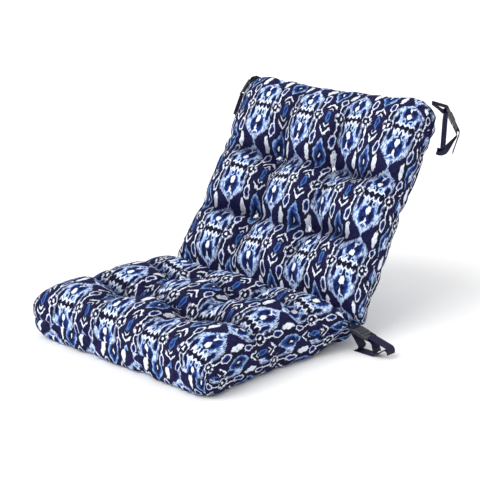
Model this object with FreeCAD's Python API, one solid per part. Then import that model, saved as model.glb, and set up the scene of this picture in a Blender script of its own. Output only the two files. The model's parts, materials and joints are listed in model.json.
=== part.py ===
import FreeCAD, Part
import math
import os

# Two-part outdoor chair cushion: a seat pad and a back pad joined along one
# sewn-through hinge line, tufted, with four webbing straps that close with
# side-release buckles.  Millimetres.  X runs across the cushion, the seat's
# front edge faces -Y, +Z is up, and the origin is the centre of the seat's
# underside.

Vec = FreeCAD.Vector

# ---- driving sizes of the two pads ---------------------------------------
WIDTH = 533.0              # both pads, seam to seam across
SEAT_DEPTH = 446.0         # hinge line to the seat's front seam
BACK_HEIGHT = 514.0        # hinge line to the back's top seam
RECLINE = 32.0             # back pad's lean from vertical, degrees
SEAM_HEIGHT = 46.0         # edge seam above the seat's underside
SEAT_CROWN = 68.0          # seat's top above the edge seam
BACK_CROWN = 58.0          # back's front face from its edge seam
BACK_DEPTH = 46.0          # back's rear face from its edge seam
COVER = 1.2                # woven cover panel
HINGE_GAP = 3.0            # pad edge to the hinge axis
OUTER_CORNER = 45.0        # corner radius of the outline, away from the hinge
HINGE_CORNER = 25.0        # corner radius of the outline, at the hinge
ALLOWANCE = 9.0            # turned-in seam allowance
ALLOWANCE_THICK = 1.6

# ---- tufts ---------------------------------------------------------------
SEAT_TUFT_X = 84.0         # either side of the centre line
SEAT_TUFT_ROWS = (150.0, 296.0)    # from the hinge line
BACK_TUFT_X = 78.0
BACK_TUFT_ROWS = (168.0, 310.0)
TUFT_SINK = 36.0           # depth of a tuft's hollow, sitting side
TUFT_SINK_UNDER = 16.0     # depth of a tuft's hollow, under side
TUFT_MOUTH = 34.0          # radius of the hollow where it leaves the crown
TUFT_FLOOR = 5.0           # radius of the hollow's floor
TWINE_R = 1.1
KNOT_R = 3.0

# ---- hinge line ----------------------------------------------------------
HINGE_BEAD_R = 2.5         # sewn-through strip between the pads
HINGE_THREAD_R = 0.6

# ---- webbing and buckles -------------------------------------------------
WEB = 25.0                 # webbing width
WEB_T = 1.5                # webbing thickness
BAR_R = 1.9                # bars the webbing goes round
SLOT_SIDE = 0.8            # webbing edge to the side of a webbing slot
RAIL = 2.7                 # buckle frame beside a webbing slot
SOCKET_WALL = 2.4          # socket's side wall and its end wall
SOCKET_T = 9.5             # socket thickness
SOCKET_ROOM = 5.2          # height of the socket's cavity
SOCKET_DEPTH = 17.5        # depth of the socket's cavity
PLUG_GAP = 0.4             # plug to socket, above, below and at the latches
ARM = 3.4                  # width of a latch arm
CLIP_T = 7.2               # clip plate thickness
SOCKET_BAR = -26.2         # along the buckle, from the socket's mouth
CLIP_BAR = 16.5
BAR_GAP = 0.35             # webbing to a clip bar
SEWN_GAP = 0.1             # webbing to a socket bar
MOUTH_GAP = 0.4            # clip plate to socket mouth when closed
TOP_STRAP_TURN = 30.0      # top loops leave the corner this far towards the rear
TOP_STRAP_SWING = 28.0     # and hang this far towards the pad's slope

HINGE_Y = SEAT_DEPTH / 2
WRAP = BAR_R + BAR_GAP + WEB_T / 2           # webbing centre line round a clip bar
SHORT_WRAP = BAR_R + SEWN_GAP + WEB_T / 2    # and round a socket bar
BUCKLE_HALF = WEB / 2 + SLOT_SIDE + RAIL     # half the buckle's width


# ---- outlines and pads ---------------------------------------------------
def rounded_outline(half, near, far, r_near, r_far, height):
    """Closed wire of a rounded rectangle lying at one height.

    half is half its width along X; it spans near to far along Y, with one
    radius for the two corners at each end.
    """
    k = math.sqrt(0.5)
    toward = 1.0 if far > near else -1.0
    n_in = near + toward * r_near
    f_in = far - toward * r_far
    points = [
        (-half + r_near, near), (half - r_near, near),
        (half, n_in), (half, f_in),
        (half - r_far, far), (-half + r_far, far),
        (-half, f_in), (-half, n_in),
    ]
    middles = [
        (half - r_near + k * r_near, n_in - toward * k * r_near),
        (half - r_far + k * r_far, f_in + toward * k * r_far),
        (-half + r_far - k * r_far, f_in + toward * k * r_far),
        (-half + r_near - k * r_near, n_in - toward * k * r_near),
    ]
    at = [Vec(x, y, height) for x, y in points]
    mid = [Vec(x, y, height) for x, y in middles]
    edges = []
    for side in range(4):
        a, b, c = at[2 * side], at[2 * side + 1], at[(2 * side + 2) % 8]
        edges.append(Part.LineSegment(a, b).toShape())
        edges.append(Part.Arc(b, mid[side], c).toShape())
    return Part.Wire(edges)


def half_pad(levels, length, skin):
    """One half of a pad, from the seam plane outwards.

    levels is a list of (height, side inset, distance from the hinge, far
    inset); length is signed, along Y from the hinge line.  skin shrinks the
    whole half by that much, leaving the seam plane where it is.
    """
    toward = 1.0 if length > 0 else -1.0
    wires = []
    for index, (height, side, near, far) in enumerate(levels):
        rise = height - math.copysign(skin, height) if index else 0.0
        slack = skin
        wires.append(rounded_outline(
            WIDTH / 2 - side - slack,
            toward * (near + slack),
            length - toward * (far + slack),
            HINGE_CORNER, OUTER_CORNER - 0.2 * side, rise))
    return Part.makeLoft(wires, True, True)


def pad_levels(crown, under):
    """Section tables of a pad's sitting side and under side."""
    sitting = [
        (0.0, 0.0, HINGE_GAP, 0.0),
        (0.55 * crown, 9.0, 0.55 * crown + 5.0, 8.0),
        (0.86 * crown, 30.0, 0.86 * crown + 9.0, 26.0),
        (crown, 74.0, crown + 30.0, 68.0),
    ]
    below = [
        (0.0, 0.0, HINGE_GAP, 0.0),
        (-0.58 * under, 5.0, HINGE_GAP + 4.0, 5.0),
        (-0.87 * under, 16.0, HINGE_GAP + 8.0, 16.0),
        (-under, 40.0, HINGE_GAP + 15.0, 40.0),
    ]
    return sitting, below


def tuft_hollow(x, y, surface, sink, grow):
    """Cone that a tuft pulls into a face; sink is signed like surface."""
    way = 1.0 if surface > 0 else -1.0
    slope = (TUFT_MOUTH - TUFT_FLOOR) / sink
    floor = surface - way * (sink + grow)
    over = 2.0
    top_r = TUFT_MOUTH + grow + over * slope
    cone = Part.makeCone(TUFT_FLOOR + grow, top_r, sink + grow + over,
                         Vec(x, y, floor), Vec(0, 0, way))
    return cone


def tuft_twine(x, y, top, bottom):
    """One tying twine with its two knots, from hollow floor to hollow floor."""
    twine = Part.makeCylinder(TWINE_R, top - bottom, Vec(x, y, bottom))
    for floor, way in ((top, 1.0), (bottom, -1.0)):
        knot = Part.makeSphere(KNOT_R, Vec(x, y, floor + way * 0.6 * KNOT_R))
        keep = Part.makeCylinder(2 * KNOT_R, 3 * KNOT_R, Vec(x, y, floor),
                                 Vec(0, 0, way))
        twine = twine.fuse(knot.common(keep))
    return twine.removeSplitter()


def allowance_ring(length, core):
    """Turned-in seam allowance lying round the inside of the seam plane."""
    toward = 1.0 if length > 0 else -1.0
    faces = []
    for inset in (COVER + 0.3, COVER + 0.3 + ALLOWANCE):
        wire = rounded_outline(
            WIDTH / 2 - inset, toward * (HINGE_GAP + inset),
            length - toward * inset, HINGE_CORNER - 0.6 * inset,
            OUTER_CORNER - 0.6 * inset, -ALLOWANCE_THICK / 2)
        faces.append(Part.Face(wire))
    flat = faces[0].cut(faces[1])
    ring = flat.extrude(Vec(0, 0, ALLOWANCE_THICK))
    return ring.common(core)


def build_pad(length, crown, under, tuft_x, rows, roots):
    """Cover panels, fibre fill, seam allowance and twines of one pad.

    The pad is built lying flat with its seam plane at height 0 and its hinge
    line along X through the origin.  roots are the webbing ends sewn into it.
    """
    sitting, below = pad_levels(crown, under)
    toward = 1.0 if length > 0 else -1.0
    outer = [half_pad(sitting, length, 0.0), half_pad(below, length, 0.0)]
    inner = [half_pad(sitting, length, COVER), half_pad(below, length, COVER)]
    twines = []
    for row in rows:
        for x in (-tuft_x, tuft_x):
            y = toward * row
            hollows = ((crown, TUFT_SINK), (-under, TUFT_SINK_UNDER))
            for half, (surface, sink) in enumerate(hollows):
                outer[half] = outer[half].cut(tuft_hollow(x, y, surface, sink, 0.0))
                inner[half] = inner[half].cut(tuft_hollow(x, y, surface, sink, COVER))
            twines.append(tuft_twine(x, y, crown - TUFT_SINK,
                                     -under + TUFT_SINK_UNDER))
    core = inner[0].fuse(inner[1])
    ring = allowance_ring(length, core).cut(roots)
    panels = [outer[k].cut([inner[k]] + twines + roots) for k in (0, 1)]
    left = core.cut([ring] + twines + roots)
    fill = max(left.Solids, key=lambda solid: solid.Volume)
    return panels, fill, ring, twines


# ---- webbing -------------------------------------------------------------
def webbing(path, y_centre):
    """Flat webbing swept along a path of straights joined by tangent arcs.

    path is a list of (x, z, radius); the webbing stands on edge in the path's
    plane and runs WEB wide along Y.
    """
    points = [FreeCAD.Vector(x, 0, z) for x, z, _ in path]
    radii = [r for _, _, r in path]
    legs = [(b - a).normalize() for a, b in zip(points, points[1:])]
    rows = {1: [], -1: []}
    joint_in = points[0]
    for index in range(1, len(points)):
        leg = legs[index - 1]
        normal = Vec(-leg.z, 0, leg.x)
        last = index == len(points) - 1
        cut_back = 0.0
        if not last:
            ahead = legs[index]
            turn = math.acos(max(-1.0, min(1.0, leg.dot(ahead))))
            cut_back = radii[index] * math.tan(turn / 2)
        joint_out = points[index] - leg * cut_back
        for side in (1, -1):
            offset = normal * (side * WEB_T / 2)
            rows[side].append(Part.LineSegment(
                joint_in + offset, joint_out + offset).toShape())
        if last:
            break
        left = 1.0 if leg.z * ahead.x - leg.x * ahead.z < 0 else -1.0
        centre = joint_out + normal * (left * radii[index])
        joint_in = points[index] + ahead * cut_back
        bisector = (points[index] - centre).normalize()
        for side in (1, -1):
            r = radii[index] - left * side * WEB_T / 2
            start = centre + (joint_out - centre).normalize() * r
            end = centre + (joint_in - centre).normalize() * r
            rows[side].append(Part.Arc(start, centre + bisector * r, end).toShape())
    near = rows[1]
    far = rows[-1]
    first = Part.LineSegment(far[0].Vertexes[0].Point, near[0].Vertexes[0].Point)
    close = Part.LineSegment(near[-1].Vertexes[-1].Point, far[-1].Vertexes[-1].Point)
    edges = [first.toShape()] + near + [close.toShape()] + far
    wire = Part.Wire(Part.__sortEdges__(edges))
    solid = Part.Face(wire).extrude(Vec(0, WEB, 0))
    solid.translate(Vec(0, y_centre - WEB / 2, 0))
    return solid


# ---- buckle, built along +X with the socket's mouth at 0 ------------------
def block(a0, a1, half_y, half_b, radius):
    """Box from a0 to a1 with its lengthwise and end corners rounded."""
    box = Part.makeBox(a1 - a0, 2 * half_y, 2 * half_b, Vec(a0, -half_y, -half_b))
    if radius:
        edges = [e for e in box.Edges
                 if abs(e.tangentAt(e.FirstParameter).x) > 0.9]
        box = box.makeFillet(radius, edges)
    return box


def cross_bar(along):
    """Round bar across the buckle for the webbing to go round."""
    reach = WEB / 2 + SLOT_SIDE + RAIL / 2
    return Part.makeCylinder(BAR_R, 2 * reach, Vec(along, -reach, 0), Vec(0, 1, 0))


def buckle_socket():
    """Socket shell with side windows, open mouth and its webbing bar."""
    back = -SOCKET_DEPTH - 2.0
    shell = block(back, -MOUTH_GAP, BUCKLE_HALF, SOCKET_T / 2, 2.0)
    rails = block(SOCKET_BAR - BAR_R, back + 0.5, BUCKLE_HALF, 3.1, 1.2)
    room = WEB / 2 + SLOT_SIDE
    slot = Part.makeBox(back - SOCKET_BAR + 3.5, 2 * room, 10.0,
                        Vec(SOCKET_BAR - 3.5, -room, -5.0))
    body = shell.fuse(rails.cut(slot)).fuse(cross_bar(SOCKET_BAR))
    inside = BUCKLE_HALF - SOCKET_WALL
    cavity = Part.makeBox(SOCKET_DEPTH, 2 * inside, SOCKET_ROOM,
                          Vec(-SOCKET_DEPTH, -inside, -SOCKET_ROOM / 2))
    windows = Part.makeBox(8.5, 2 * BUCKLE_HALF + 8.0, SOCKET_ROOM,
                           Vec(-13.5, -BUCKLE_HALF - 4.0, -SOCKET_ROOM / 2))
    return body.cut([cavity, windows]).removeSplitter()


def buckle_clip():
    """Clip plate outside the socket, with the webbing slot and end bar."""
    plate = block(0.0, CLIP_BAR + BAR_R, BUCKLE_HALF - 0.2, CLIP_T / 2, 1.6)
    room = WEB / 2 + SLOT_SIDE - 0.1
    start = CLIP_BAR - WRAP - WEB_T / 2 - 5.15
    slot = Part.makeBox(12.0, 2 * room, 10.0, Vec(start, -room, -5.0))
    return plate.cut(slot).fuse(cross_bar(CLIP_BAR)).removeSplitter()


def buckle_prongs():
    """Plug inside the socket: root bar, centre guide and two latch arms."""
    thick = SOCKET_ROOM - 2 * PLUG_GAP
    low = -thick / 2
    inside = BUCKLE_HALF - SOCKET_WALL
    root_half = inside - 2 * PLUG_GAP
    root = Part.makeBox(3.2, 2 * root_half, thick, Vec(-3.2, -root_half, low))
    tip = -SOCKET_DEPTH + 0.9
    guide = Part.makeBox(-3.2 - tip + 0.4, 3.6, thick, Vec(tip, -1.8, low))
    plug = root.fuse(guide)
    for way in (-1, 1):
        arm_y = way * (root_half - ARM / 2 - 0.2)
        arm = Part.makeBox(13.4, ARM, thick, Vec(-16.0, arm_y - ARM / 2, low))
        pad_y = way * (BUCKLE_HALF - 2.0)
        pad = Part.makeBox(7.7, 3.6, thick, Vec(-13.1, pad_y - 1.8, low))
        plug = plug.fuse(arm).fuse(pad)
    return plug.removeSplitter()


def lay_buckle(shape, mouth, slope):
    """Turn a buckle piece to point along slope (degrees up from +X)."""
    placed = shape.copy()
    placed.rotate(Vec(0, 0, 0), Vec(0, 1, 0), -slope)
    placed.translate(mouth)
    return placed


class Strap:
    """One webbing strap pair and buckle on the cushion's right side."""

    def __init__(self, x, y, z, bar, slope):
        self.seat = Vec(x, y, z)
        self.slope = slope
        self.along = Vec(math.cos(math.radians(slope)), 0, math.sin(math.radians(slope)))
        self.out = Vec(-self.along.z, 0, self.along.x)
        self.socket_bar = self.seat + Vec(bar[0], 0, bar[1])
        self.mouth = self.socket_bar - self.along * SOCKET_BAR
        self.clip_bar = self.mouth + self.along * CLIP_BAR

    def spot(self, dx, dz, radius=0.0):
        """Path point given from the point where the strap leaves the pad."""
        return (self.seat.x + dx, self.seat.z + dz, radius)

    def by_bar(self, bar, out, along, radius=0.0):
        """Path point given from a bar, across and along the buckle."""
        p = bar + self.out * out + self.along * along
        return (p.x, p.z, radius)

    def lead(self, rise):
        """How far before the socket bar a level strap bends down to meet it."""
        return (self.seat.z + rise
                - self.by_bar(self.socket_bar, SHORT_WRAP, 0)[1]) / -self.along.z

    def pieces(self, short_path, long_path):
        """The five pieces of the strap."""
        y = self.seat.y
        return {
            "short_strap": webbing(short_path, y),
            "long_strap": webbing(long_path, y),
            "buckle_socket": lay_buckle(buckle_socket(), self.mouth, self.slope),
            "buckle_clip": lay_buckle(buckle_clip(), self.mouth, self.slope),
            "buckle_prongs": lay_buckle(buckle_prongs(), self.mouth, self.slope),
        }


def top_strap():
    """Strap at the back pad's top right corner, hanging as a loop."""
    lean = math.radians(RECLINE)
    reach = BACK_HEIGHT - OUTER_CORNER * (1 - math.sqrt(0.5))
    strap = Strap(WIDTH / 2 - OUTER_CORNER * (1 - math.sqrt(0.5)),
                  HINGE_Y + reach * math.sin(lean),
                  SEAM_HEIGHT + reach * math.cos(lean), (26.0, -8.0), -48.0)
    bar, clip = strap.socket_bar, strap.clip_bar
    rise = 0.8
    short = [
        strap.spot(-6.0, rise),
        strap.by_bar(bar, SHORT_WRAP, -strap.lead(rise), 6.0),
        strap.by_bar(bar, SHORT_WRAP, SHORT_WRAP, SHORT_WRAP - 0.05),
        strap.by_bar(bar, -SHORT_WRAP, SHORT_WRAP, SHORT_WRAP - 0.05),
        strap.by_bar(bar, -SHORT_WRAP, -2.0),
    ]
    long = [
        strap.spot(62.5, -90.0),
        strap.by_bar(clip, WRAP, 9.0, 8.0),
        strap.by_bar(clip, WRAP, -WRAP, WRAP - 0.05),
        strap.by_bar(clip, -WRAP, -WRAP, WRAP - 0.05),
        strap.by_bar(clip, -WRAP, 12.0, 8.0),
        strap.spot(44.0, -96.0, 13.0),
        strap.spot(20.0, -96.0, 10.0),
        strap.spot(20.0, -1.0, 5.0),
        strap.spot(-6.0, -1.0),
    ]
    pieces = strap.pieces(short, long)
    for shape in pieces.values():
        shape.rotate(strap.seat, Vec(0, 0, 1), TOP_STRAP_TURN)
        shape.rotate(strap.seat, Vec(1, 0, 0), -TOP_STRAP_SWING)
    return pieces


def hinge_strap():
    """Strap at the hinge line's right end, its loop lying on the floor."""
    root = ALLOWANCE_THICK / 2 + 0.1 + WEB_T / 2
    strap = Strap(WIDTH / 2, HINGE_Y - 2.0 - WEB / 2, SEAM_HEIGHT,
                  (SHORT_WRAP + 2.25, root - SHORT_WRAP - 0.1), -14.0)
    bar, clip = strap.socket_bar, strap.clip_bar
    floor = -SEAM_HEIGHT + 0.3 + WEB_T / 2
    short = [
        strap.spot(-22.0, root),
        strap.by_bar(bar, SHORT_WRAP, -strap.lead(root), 4.0),
        strap.by_bar(bar, SHORT_WRAP, SHORT_WRAP, SHORT_WRAP - 0.05),
        strap.by_bar(bar, -SHORT_WRAP, SHORT_WRAP, SHORT_WRAP - 0.05),
        strap.by_bar(bar, -SHORT_WRAP, -0.6),
    ]
    tail = strap.by_bar(clip, -WRAP, 12.0, 10.0)
    droop = math.radians(strap.slope - 58.5)
    end = (tail[0] + 22.0 * math.cos(droop), tail[1] + 22.0 * math.sin(droop), 0.0)
    long = [
        end,
        tail,
        strap.by_bar(clip, -WRAP, -WRAP, WRAP - 0.05),
        strap.by_bar(clip, WRAP, -WRAP, WRAP - 0.05),
        strap.by_bar(clip, WRAP, 52.0, 9.0),
        strap.spot(99.5, floor + 2.5, 9.0),
        strap.spot(60.0, floor, 40.0),
        strap.spot(1.6, floor, 12.0),
        strap.spot(1.6, -root, 2.3),
        strap.spot(-22.0, -root),
    ]
    return strap.pieces(short, long)


# ---- assembly ------------------------------------------------------------
def mirrored(shape):
    return shape.mirror(Vec(0, 0, 0), Vec(1, 0, 0))


def stand_up(shape):
    """Move a piece of the back pad from lying flat to its resting recline."""
    placed = shape.copy()
    placed.rotate(Vec(0, 0, 0), Vec(1, 0, 0), 90.0 - RECLINE)
    placed.translate(Vec(0, HINGE_Y, SEAM_HEIGHT))
    return placed


def lie_down(shape):
    """The reverse of stand_up."""
    placed = shape.copy()
    placed.translate(Vec(0, -HINGE_Y, -SEAM_HEIGHT))
    placed.rotate(Vec(0, 0, 0), Vec(1, 0, 0), RECLINE - 90.0)
    return placed


def lay_seat(shape):
    placed = shape.copy()
    placed.translate(Vec(0, HINGE_Y, SEAM_HEIGHT))
    return placed


def lift_seat(shape):
    placed = shape.copy()
    placed.translate(Vec(0, -HINGE_Y, -SEAM_HEIGHT))
    return placed


def name_pad(name, faces, built, place):
    """Node names for one pad's pieces."""
    panels, fill, ring, twines = built
    near_far = ("rear", "front") if name == "seat" else ("lower", "upper")
    nodes = {
        name + "_" + faces[0]: place(panels[0]),
        name + "_" + faces[1]: place(panels[1]),
        name + "_fibre_fill": place(fill),
        name + "_seam_allowance": place(ring),
    }
    for index, twine in enumerate(twines):
        side = ("left", "right")[index % 2]
        nodes["%s_tuft_twine_%s_%s" % (name, near_far[index // 2], side)] = place(twine)
    return nodes


def build():
    nodes = {}
    top = top_strap()
    low = hinge_strap()
    back_roots = []
    seat_roots = []
    for piece in ("short_strap", "long_strap"):
        back_roots += [lie_down(top[piece]), lie_down(mirrored(top[piece]))]
        seat_roots += [lift_seat(low[piece]), lift_seat(mirrored(low[piece]))]
    seat = build_pad(-SEAT_DEPTH, SEAT_CROWN, SEAM_HEIGHT, SEAT_TUFT_X,
                     SEAT_TUFT_ROWS, seat_roots)
    back = build_pad(BACK_HEIGHT, BACK_CROWN, BACK_DEPTH, BACK_TUFT_X,
                     BACK_TUFT_ROWS, back_roots)
    nodes.update(name_pad("seat", ("top_panel", "bottom_panel"), seat, lay_seat))
    nodes.update(name_pad("back", ("front_panel", "rear_panel"), back, stand_up))

    run = WIDTH - 2 * HINGE_CORNER
    axis_start = Vec(-run / 2, HINGE_Y, SEAM_HEIGHT)
    bead = Part.makeCylinder(HINGE_BEAD_R, run, axis_start, Vec(1, 0, 0))
    lift = Vec(0, 0, HINGE_BEAD_R - 0.4 * HINGE_THREAD_R)
    thread = Part.makeCylinder(HINGE_THREAD_R, run, axis_start + lift, Vec(1, 0, 0))
    nodes["hinge_seam_strip"] = bead.cut(thread)
    nodes["hinge_stitching"] = thread

    for place, pieces in (("top", top), ("hinge", low)):
        for piece, shape in pieces.items():
            nodes["%s_right_%s" % (place, piece)] = shape
            nodes["%s_left_%s" % (place, piece)] = mirrored(shape)
    return nodes


os.makedirs("parts", exist_ok=True)
for node, shape in build().items():
    if shape.ShapeType != "Solid" and len(shape.Solids) == 1:
        shape = shape.Solids[0]
    print("%-34s %-9s solids %d  valid %s  %.1f cm3" % (
        node, shape.ShapeType, len(shape.Solids), shape.isValid(), shape.Volume / 1000))
    shape.exportStep("parts/" + node + ".step")
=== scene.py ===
"""Outdoor chair cushion: a tufted seat pad and back pad in one printed cloth.

The cover of each pad is sewn from two panels, blown up by a cloth simulation
against its tufts and edge seams, and printed with a generic tie-dyed weave.
Webbing loops with side-release buckles hang at the top corners and lie at the
hinge line.  All sizes are in metres.
"""
import json
import logging
import math
from dataclasses import dataclass, field
from enum import Enum

import bpy
import numpy as np
from mathutils import Matrix, Vector

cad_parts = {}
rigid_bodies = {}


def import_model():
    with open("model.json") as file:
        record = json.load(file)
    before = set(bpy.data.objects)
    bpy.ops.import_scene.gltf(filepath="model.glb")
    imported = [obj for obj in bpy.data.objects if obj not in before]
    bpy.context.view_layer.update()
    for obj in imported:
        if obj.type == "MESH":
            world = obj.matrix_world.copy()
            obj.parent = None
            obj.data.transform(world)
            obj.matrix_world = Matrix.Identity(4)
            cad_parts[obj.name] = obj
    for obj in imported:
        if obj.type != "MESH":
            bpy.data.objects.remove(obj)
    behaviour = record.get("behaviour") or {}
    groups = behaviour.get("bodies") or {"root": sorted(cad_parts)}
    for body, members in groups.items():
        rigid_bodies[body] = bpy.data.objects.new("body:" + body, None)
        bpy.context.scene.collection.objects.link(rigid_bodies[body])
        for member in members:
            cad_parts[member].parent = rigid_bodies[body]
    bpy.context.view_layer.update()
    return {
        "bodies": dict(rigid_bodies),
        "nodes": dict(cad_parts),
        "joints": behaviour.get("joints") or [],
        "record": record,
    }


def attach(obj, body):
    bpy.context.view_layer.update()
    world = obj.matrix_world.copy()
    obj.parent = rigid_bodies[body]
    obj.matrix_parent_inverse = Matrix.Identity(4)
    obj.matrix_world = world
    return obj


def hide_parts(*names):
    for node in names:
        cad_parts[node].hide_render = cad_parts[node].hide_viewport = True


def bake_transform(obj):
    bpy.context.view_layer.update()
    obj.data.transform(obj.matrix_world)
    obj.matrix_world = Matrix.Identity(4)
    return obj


log = logging.getLogger("cushion")

# where the hinge line runs, how far the back leans and how wide the pads are
HINGE_Y = 0.223
SEAM_Z = 0.046
RECLINE = math.radians(32.0)
HALF_WIDTH = 0.2665
# the UV map that every woven piece carries
PRINT_MAP = "print"
MILLIMETRES = 1000.0
# keeps two arcs round one bar from meeting
ARC_PLAY = 0.00005
# a direction that no cord follows
ASKEW = np.array([0.31, 0.22, 0.93])
# how the covers' cloth behaves while it is blown up
CLOTH_SETTINGS = {
    "quality": 7, "mass": 0.25, "tension_stiffness": 40.0,
    "compression_stiffness": 12.0, "shear_stiffness": 6.0, "bending_stiffness": 0.25,
    "tension_damping": 12.0, "compression_damping": 8.0, "air_damping": 2.0,
    "vertex_group_mass": "sewn", "pin_stiffness": 1.0, "use_pressure": True,
    "uniform_pressure_force": 4.5}


class Side(Enum):
    """Which end of the pads a strap hangs at."""

    RIGHT = 1
    LEFT = -1


class Panel(Enum):
    """The two cloth panels of a pad, by the way they face."""

    SITTING = 1
    UNDER = -1


# ---- small mesh and object helpers ----------------------------------------
def only(thing: bpy.types.Object) -> None:
    """Select one object and make it the active one.

    Args:
        thing: the object.
    """
    bpy.ops.object.select_all(action="DESELECT")
    thing.select_set(True)
    bpy.context.view_layer.objects.active = thing


def points_of(thing: bpy.types.Object) -> np.ndarray:
    """Read an object's vertex places.

    Args:
        thing: the object.

    Returns:
        The places, one row for each vertex.
    """
    places = np.empty(len(thing.data.vertices) * 3)
    thing.data.vertices.foreach_get("co", places)
    return places.reshape(-1, 3)


def set_points(thing: bpy.types.Object, places: np.ndarray) -> None:
    """Write an n x 3 array of places to the object's vertices."""
    thing.data.vertices.foreach_set("co", np.ascontiguousarray(places, float).ravel())
    thing.data.update()


def apply_all(thing: bpy.types.Object) -> None:
    """Apply every modifier on the object, in order.

    Args:
        thing: the object.
    """
    only(thing)
    for name in [modifier.name for modifier in thing.modifiers]:
        bpy.ops.object.modifier_apply(modifier=name)


def name_piece(name: str, material: bpy.types.Material) -> bpy.types.Object:
    """Name the active object and its mesh and give it one finish.

    Args:
        name: the piece's name.
        material: its finish.

    Returns:
        The object.
    """
    piece = bpy.context.object
    piece.name = name
    piece.data.name = name
    piece.data.materials.clear()
    piece.data.materials.append(material)
    return piece


def new_grid(name: str, material: bpy.types.Material, columns: int,
             rows: int) -> tuple[bpy.types.Object, np.ndarray]:
    """Add a flat grid to be shaped.

    Args:
        name: the piece's name.
        material: its finish.
        columns: its cells across.
        rows: its cells along.

    Returns:
        The grid, and each vertex's share across and along, 0 to 1.
    """
    bpy.ops.object.select_all(action="DESELECT")
    bpy.ops.mesh.primitive_grid_add(x_subdivisions=columns, y_subdivisions=rows,
                                    size=2.0, location=(0, 0, 0))
    piece = name_piece(name, material)
    return piece, (points_of(piece)[:, :2] + 1.0) / 2.0


def set_prints(piece: bpy.types.Object, prints: np.ndarray) -> None:
    """Write print coordinates to the piece's UV map.

    Args:
        piece: the piece.
        prints: the two coordinates of each vertex.
    """
    order = np.empty(len(piece.data.loops), int)
    piece.data.loops.foreach_get("vertex_index", order)
    piece.data.uv_layers[0].name = PRINT_MAP
    piece.data.uv_layers[0].data.foreach_set("uv", prints[order].ravel())


def set_note(piece: bpy.types.Object, name: str, values: np.ndarray) -> None:
    """Store one number for every vertex."""
    note = piece.data.attributes.new(name, "FLOAT", "POINT")
    note.data.foreach_set("value", values.astype(np.float32))


def close_up(piece: bpy.types.Object, gap: float | None = None) -> None:
    """Merge a mesh's doubles and turn its faces outwards.

    Args:
        piece: the object.
        gap: how close doubles lie; none are merged without it.
    """
    only(piece)
    bpy.ops.object.mode_set(mode="EDIT")
    bpy.ops.mesh.select_all(action="SELECT")
    if gap is not None:
        bpy.ops.mesh.remove_doubles(threshold=gap)
    bpy.ops.mesh.normals_make_consistent(inside=False)
    bpy.ops.object.mode_set(mode="OBJECT")


def eased(share: np.ndarray) -> np.ndarray:
    """A share between 0 and 1 with soft ends."""
    return share * share * (3.0 - 2.0 * share)


def unit_rows(rows: np.ndarray) -> np.ndarray:
    """Vectors brought to length one."""
    return rows / np.linalg.norm(rows, axis=1)[:, None]


def join(pieces: list[bpy.types.Object]) -> bpy.types.Object:
    """Join objects into the first of them.

    Args:
        pieces: the objects.

    Returns:
        The first, with the others' meshes in it.
    """
    bpy.ops.object.select_all(action="DESELECT")
    for piece in pieces:
        piece.select_set(True)
    bpy.context.view_layer.objects.active = pieces[0]
    if len(pieces) > 1:
        bpy.ops.object.join()
    return pieces[0]


def report(piece: bpy.types.Object) -> None:
    """Say that a piece is done."""
    log.info("%s: %d faces", piece.name, len(piece.data.polygons))


def blur_noise(count: int, span: float, seed: int) -> np.ndarray:
    """Smooth repeatable noise between about -1 and 1 along a closed run.

    Args:
        count: how many samples.
        span: the samples in one wave.
        seed: the seed.

    Returns:
        The samples.
    """
    turns = np.arange(count) * 2.0 * math.pi / count
    source = np.random.default_rng(seed)
    top = max(2, int(count / span))
    total = np.zeros(count)
    for turn in range(max(1, top // 3), top + 1):
        total += source.normal() * np.cos(turn * turns + source.uniform(0, 2 * math.pi))
    return total / (np.abs(total).max() + 1e-9)


# ---- shader helpers -------------------------------------------------------
@dataclass(frozen=True)
class Spot:
    """One round or pointed shape of a print, in millimetres."""

    across: float
    along: float
    wide: float
    tall: float


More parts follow.
